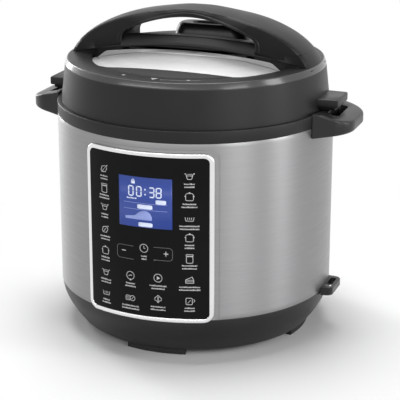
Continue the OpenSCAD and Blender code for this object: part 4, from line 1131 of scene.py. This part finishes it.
def peg_part():
    """Stack of outlines of the peg under a fin, which drops into the side handle's socket."""
    return ribs([at_height(rounded([(148.5 - k, -16 + k), (148.5 - k, 16 - k), (126, 16), (126, -16)],
                                   [1.5, 1.5, 0, 0], 5), z)
                 for z, k in ((231.8, 0.4), (232.2, 0), (235.4, 0))])


fin = joined(fin_part(), peg_part())
piece("lid_fins", joined(fin, mirrored(fin)), "lid_cover", lid_black)

# %% [markdown]
# ## Arch handle
# The arch lies between two curves: an ellipse above and a flat circle with round corners below. Stations
# are spread evenly along both, and at each one a section with rounded edges is set between the two points.

# %% Curves of the arch
POST_X, UNDER_R, UNDER_CENTRE_Z, CORNER_R = 69.0, 140.0, 173.5, 9.0


def arch_curves(count):
    """Points on the ellipse and on the underside, from one post over the crown to the other. The underside
    is an arc of 140 mm round a low centre, a corner of 9 mm that touches it, and the upright post."""
    end = ARCH_A * math.sqrt(1 - ((SEAM_Z - ARCH_Z) / ARCH_B) ** 2)
    x = end * np.sin(np.linspace(-np.pi / 2, np.pi / 2, 400))
    over = along(np.stack([x, arch_top(x)], -1), count)
    corner_x, reach = POST_X - CORNER_R, UNDER_R - CORNER_R
    turn = math.asin(corner_x / reach)

    def arc(x, z, r, a):
        return np.array([x, z]) + r * np.stack([np.sin(a), np.cos(a)], -1)

    under = arc(0, UNDER_CENTRE_Z, UNDER_R, np.linspace(0, turn, 60))
    corner = arc(corner_x, UNDER_CENTRE_Z + reach * math.cos(turn), CORNER_R,
                 np.linspace(turn, np.pi / 2, 20)[1:])
    half = np.concatenate([under, corner, [[POST_X, SEAM_Z]]])
    under = along(np.concatenate([half[::-1] * (-1, 1), half[1:]]), count)
    return over, under


crown_line, palm_line = arch_curves(141)
print("the arch is", round(float(crown_line[70, 1] - palm_line[70, 1]), 1), "mm thick at its crown")

# %% Arch
def arch_part(over, under):
    """Each section runs from the underside to the ellipse: two flat sides with a step 4.2 mm up, rounded
    edges with a bevel, and a top whose drop grows with the square of the distance from the middle line.
    Half its width is 20 mm at the crown and grows to 25 mm with the fourth power of a cosine."""
    thick = np.linalg.norm(over - under, axis=1)
    crown = np.linspace(-0.86, 0.86, 15)
    rings = []
    for o, u, h in zip(over, under, thick):
        half = min(25.0, 26.0 - 6.0 * math.cos(math.radians(90 * min(abs(o[0]), ARCH_A) / ARCH_A)) ** 4)
        wall = half - 0.8
        drop, round_by = arris_drop(o[0]), min(1.5, h / 5)
        low = rounded([(0, 0), (half, 0), (half, 4.2), (wall, 4.9), (wall, 6)],
                      [0, round_by, 0.3, 0.3, 0], 6, close=False)[1:]
        edge = h - drop * 0.93 ** 2
        side = rounded([(wall, 6), (wall, edge - 3.0), (half - 2.0, edge - 0.4), (half * 0.9, edge + 0.1)],
                       [0, 0.5, 0.6, 0], 6, close=False)[6:]
        top = np.stack([half * crown[::-1], h - drop * crown[::-1] ** 2], -1)
        right = np.concatenate([low, side])
        c = np.concatenate([right, top[1:-1], right[::-1] * (-1, 1)])
        q = c[:, 1:] / h
        xz = u + (o - u) * q
        rings.append(np.column_stack([xz[:, 0], c[:, 0], xz[:, 1]]))
    return ribs(rings)


piece("arch_shell", arch_part(crown_line, palm_line), "arch_handle", arch_black,
      replaces=("arch_handle",))

# %% [markdown]
# ## Steam knob
# The knob is a bar with round ends that the hand turns. Its outlines shrink as they rise, which rounds its
# shoulder, and the last ones go down into a recess. This closes the shape without a boolean.

# %% Steam knob
def knob_part():
    """Stack of outlines, each inset from the first: wall, rounded shoulder, rim, and down into a recess
    that is 18 mm shorter than the rim."""
    z0, z1 = knob_lo[2], knob_hi[2]
    levels = [(0.6, z0), (0, z0 + 0.6), (0.1, z0 + 1.4), (0.5, z0 + 5), (1.5, z1 - 8), (2.6, z1 - 5),
              (4.2, z1 - 2.2), (6.0, z1 - 0.6), (7.4, z1), (8.6, z1), (9.4, z1 - 0.4), (9.9, z1 - 1.4),
              (10.2, z1 - 3.2), (11, z1 - 3.6)]
    return ribs([at_height(stadium(knob_l - 2 * (k + 9 * smooth(k, 7.4, 8.6)), knob_w - 2 * k), z)
                 for k, z in levels])


piece("steam_knob_cap", knob_part(), "steam_knob", handle_black, replaces=("steam_knob",))

# %% [markdown]
# ## Small fittings
# The spoon loop, the condensation cup and its hook are small mouldings with the same rounded edges. The
# loop and the cup are stacked outlines that turn over their rim and come back down inside. The cup is
# clear, so that the water in it can be seen, and its finish lets light through instead of looking painted.

# %% Spoon loop
loop_lo, loop_hi = box("spoon_loop")


def loop_part():
    """Stack of outlines, up the outside of the loop and down through its slot."""
    middle = np.array([142.6, 6.0])
    back = on_ring(25.5, -13.5, 25)
    x1 = loop_hi[0]

    def outline(inset):
        front = rounded([(back[-1, 0], -13.8 + inset), (x1 - inset, -12 + inset), (x1 - inset, 24 - inset),
                         (back[0, 0], 25.8 - inset)], [0, 5, 5, 0], 7)
        return by_rays(np.concatenate([front, back]), middle)

    slot = by_rays(rounded_box(6, 25, 2, *middle), middle)
    wide = by_rays(rounded_box(6.9, 25.9, 2.4, *middle), middle)
    z0, z1 = loop_lo[2], loop_hi[2]
    return ribs([at_height(wide, z0), at_height(outline(0.8), z0), at_height(outline(0), z0 + 0.8),
                 at_height(outline(0), z1 - 0.8), at_height(outline(0.8), z1), at_height(wide, z1),
                 at_height(slot, z1 - 0.5), at_height(slot, z0 + 0.5)], close=True)


piece("spoon_loop_ring", loop_part(), "spoon_loop", handle_black, replaces=("spoon_loop",))

# %% Clear plastic
def clear_finish():
    """Clear plastic, lightly frosted by the mould."""
    f = Finish("clear_plastic")
    slow = f.noise(60, 2)
    tone = f.mix(slow.ramp(0.3, 0.7), (0.80, 0.84, 0.86), (0.88, 0.91, 0.92))
    return f.done(Base_Color=tone, IOR=1.5, Transmission_Weight=0.85,
                  Roughness=slow.ramp(0.3, 0.7, 0.10, 0.18), Normal=f.bump(f.noise(800, 2), 0.05, 0.0001))


clear_plastic = clear_finish()
print("finish", clear_plastic.name)

# %% Condensation cup
cup_lo, cup_hi = box("collector_cup")


def cup_part():
    """Cup with a rolled rim, and the strap with a turned-down end that hooks over the bracket. The strap
    is its outline carried across, shrunk by a little at both ends."""
    deep = 17
    y0, w, z0, z1 = cup_hi[1] - deep, cup_hi[0] - cup_lo[0], cup_lo[2], cup_hi[2]
    levels = [(1.2, z0), (0.3, z0 + 0.3), (0, z0 + 1.2), (0, z1 - 0.4), (0.4, z1), (1.2, z1), (1.6, z1 - 0.4),
              (1.6, z0 + 2.6), (2.6, z0 + 1.6)]
    cup = ribs([at_height(rounded_box(w - 2 * k, deep - 2 * k, 4 - k, 0, y0 + deep / 2, 7), z)
                for k, z in levels])
    back = cup_lo[1]
    strap = rounded([(y0 + 1, z1 - 1.6), (y0 + 1, z1), (back, z1), (back, z1 - 8), (back + 1.6, z1 - 8),
                     (back + 1.6, z1 - 1.6)], [0, 0, 1, 0.6, 0.6, 0.2], 5)
    middle = strap.mean(0)
    hook = ribs([np.column_stack([np.full(len(strap), x), strap + (middle - strap) * shrink])
                 for x, shrink in ((-15, 0.006), (-14.6, 0), (14.6, 0), (15, 0.006))])
    return joined(cup, hook)


piece("condensation_cup", cup_part(), "collector_cup", clear_plastic,
      replaces=("collector_cup",))

# %% [markdown]
# ## Inner pieces
# The liner, pot, heater, boards and screws stay as the frame has them: they are exact already. They get
# finishes with the grain that such pressed, cast, plated and moulded parts have.

# %% Boards, rubber and paint
def board(name, colour):
    """Circuit board: solder mask over faint square tracks."""
    f = Finish(name)
    tracks = f.node("ShaderNodeTexBrick", {"offset": 0.5}, {
        "Vector": f.place(turn=(math.pi / 2, 0, 0)), "Scale": 60.0, "Color1": (*colour, 1),
        "Color2": (*(c * 0.8 for c in colour), 1), "Mortar": (*(c * 1.6 for c in colour), 1)}, "Color")
    fine = f.noise(1500, 2)
    return f.done(Base_Color=tracks, Roughness=fine.ramp(0.3, 0.7, 0.35, 0.5),
                  Normal=f.bump(fine, 0.1, 0.00005))


def soft(name, colour, rough, scale=500):
    """Rubber, silicone, ceramic or paint: an even colour with a fine, dull grain."""
    f = Finish(name)
    fine, slow = f.noise(scale, 3), f.noise(35, 2)
    return f.done(Base_Color=f.shades(slow, colour, 0.08, 0.06),
                  Roughness=fine.ramp(0.3, 0.7, rough * 0.85, rough * 1.1), Normal=f.bump(fine, 0.2, 0.0001))


print("finishes so far", len(bpy.data.materials))

# %% Finishes for the frame's own nodes
zinc = cast("zinc_sheet", (0.52, 0.53, 0.54), 0.38, 0.10, scale=180, depth=0.15)
screw_steel = cast("screw_steel", (0.62, 0.62, 0.63), 0.25, 0.05)
drawn = cast("drawn_aluminium", (0.70, 0.71, 0.72), 0.34, 0.05, scale=700)
cast_aluminium = cast("cast_aluminium", (0.60, 0.61, 0.62), 0.42, 0.08, scale=1600, depth=0.6)
stamped = cast("stamped_steel", (0.50, 0.51, 0.52), 0.36, 0.06)
brass = cast("pin_brass", (0.78, 0.58, 0.27), 0.24, 0.05)
inside_black = plastic("inside_black", (0.014, 0.014, 0.0145), 0.45, grain=0.1)
NODE_FINISHES = {
    "bottom_cover": zinc, "base_screws": screw_steel, "handle_screws": screw_steel,
    "control_board": board("control_board_green", (0.014, 0.11, 0.045)),
    "power_board": board("power_board_green", (0.035, 0.14, 0.05)),
    "display_module": soft("display_blue", (0.05, 0.09, 0.36), 0.3), "mains_inlet": inside_black,
    "inlet_pins": brass, "liner": drawn, "locking_collar": stamped, "heating_plate": cast_aluminium,
    "sensor_cup": stamped, "sensor_button": drawn, "sensor_spring": screw_steel, "pressure_switch": stamped,
    "thermal_fuse": soft("ceramic_white", (0.72, 0.70, 0.64), 0.4), "collector_bracket": inside_black,
    "inner_pot": pot_steel, "sealing_ring": soft("silicone", (0.70, 0.70, 0.69), 0.5),
    "ring_rack": screw_steel, "exhaust_pipe": stamped, "anti_block_shield": stamped,
    "float_valve": soft("float_red", (0.42, 0.03, 0.03), 0.35),
    "float_seal": soft("seal_white", (0.7, 0.7, 0.7), 0.55)}
for node, finish in NODE_FINISHES.items():
    held = frame["nodes"][node]
    held.data.materials.clear()
    held.data.materials.append(finish)
print("finished", len(NODE_FINISHES), "frame nodes")

# %% [markdown]
# ## Studio
# A plain pale floor and large soft lamps. The white background isn't made with more light, which would
# bleach the steel. The camera, the gloss and the clear plastic are shown white instead of the world's
# dim light, and instead of the paper away from the cooker. Near it they see the paper and its shadow.

# %% World
WATCHING = ("Is Camera Ray", "Is Glossy Ray", "Is Transmission Ray")


def watched(nodes, links):
    """1 for the rays of the camera and those that gloss and clear plastic send on, and 0 for light."""
    rays = nodes.new("ShaderNodeLightPath")
    found = rays.outputs[WATCHING[0]]
    for kind in WATCHING[1:]:
        larger = nodes.new("ShaderNodeMath")
        larger.operation = "MAXIMUM"
        links.new(found, larger.inputs[0])
        links.new(rays.outputs[kind], larger.inputs[1])
        found = larger.outputs[0]
    return found


world = bpy.data.worlds.new("studio")
bpy.context.scene.world = world
world.use_nodes = True
nodes, links = world.node_tree.nodes, world.node_tree.links
nodes.clear()
sky = nodes.new("ShaderNodeMixShader")
links.new(watched(nodes, links), sky.inputs[0])
for place, (colour, strength) in enumerate((((0.95, 0.97, 1.0, 1), 0.12), ((1, 1, 1, 1), 1.0))):
    light = nodes.new("ShaderNodeBackground")
    light.inputs[0].default_value, light.inputs[1].default_value = colour, strength
    links.new(light.outputs[0], sky.inputs[1 + place])
links.new(sky.outputs[0], nodes.new("ShaderNodeOutputWorld").inputs[0])
print("world nodes", len(nodes))

# %% Floor
FLOOR_REACH = 8.0
floor_corners = [(x * FLOOR_REACH, y * FLOOR_REACH, 0) for x, y in ((-1, -1), (1, -1), (1, 1), (-1, 1))]
floor_mesh = bpy.data.meshes.new("floor")
floor_mesh.from_pydata(floor_corners, [], [(0, 1, 2, 3)])
paper = Finish("floor_paper")
paper.done(Base_Color=paper.mix(paper.noise(3, 2).ramp(0.3, 0.7), (0.90, 0.90, 0.90), (0.93, 0.93, 0.93)),
           Roughness=0.8, Specular_IOR_Level=0.1)
px, py = paper.axes()[:2]
far_off = ((px * px + py * py) ** 0.5).ramp(0.16, 0.44)
either = paper.nodes.new("ShaderNodeMixShader")
paper.put(either.inputs[0], far_off * Sock(paper, watched(paper.nodes, paper.links)))
paper.links.new(paper.shader.outputs[0], either.inputs[1])
paper.put(either.inputs[2], paper.node("ShaderNodeEmission", inputs={"Color": (1, 1, 1, 1), "Strength": 1.0}))
paper.links.new(either.outputs[0], next(n for n in paper.nodes if n.type == "OUTPUT_MATERIAL").inputs[0])
floor_mesh.materials.append(paper.material)
floor = bpy.data.objects.new("floor", floor_mesh)
bpy.context.scene.collection.objects.link(floor)
print("floor", FLOOR_REACH * 2, "m wide")

# %% [markdown]
# ## Lamps
# Area lamps give soft edges to light and shadow. A large one above does most of the work. Tall narrow ones
# at the sides are what the brushed drum shows as bright upright bands. A wide flat one in front and another
# at the front right lift the black parts out of the dark.

# %% Lamps
def lamp(name, place, aim, wide, high, power, colour=(1, 1, 1)):
    """Rectangular area lamp at a place, turned towards a point."""
    data = bpy.data.lights.new(name, "AREA")
    data.shape, data.size, data.size_y, data.energy, data.color = "RECTANGLE", wide, high, power, colour
    made = bpy.data.objects.new(name, data)
    made.location = place
    made.rotation_euler = (Vector(aim) - Vector(place)).to_track_quat("-Z", "Y").to_euler()
    bpy.context.scene.collection.objects.link(made)
    return made


lamp("top", (-0.2, 0.35, 2.2), (0, 0, 0.1), 1.4, 1.4, 39)
lamp("right", (2.1, 0.05, 0.75), (0, 0, 0.3), 0.55, 1.2, 13)
lamp("left_back", (-1.7, 1.0, 0.7), (0, 0, 0.3), 0.4, 1.2, 16)
lamp("front_right", (1.65, -1.2, 0.8), (0, 0, 0.2), 0.8, 1.0, 12)
lamp("front", (-0.3, -2.0, 1.2), (0, 0, 0.25), 3.4, 0.2, 12)

# %% [markdown]
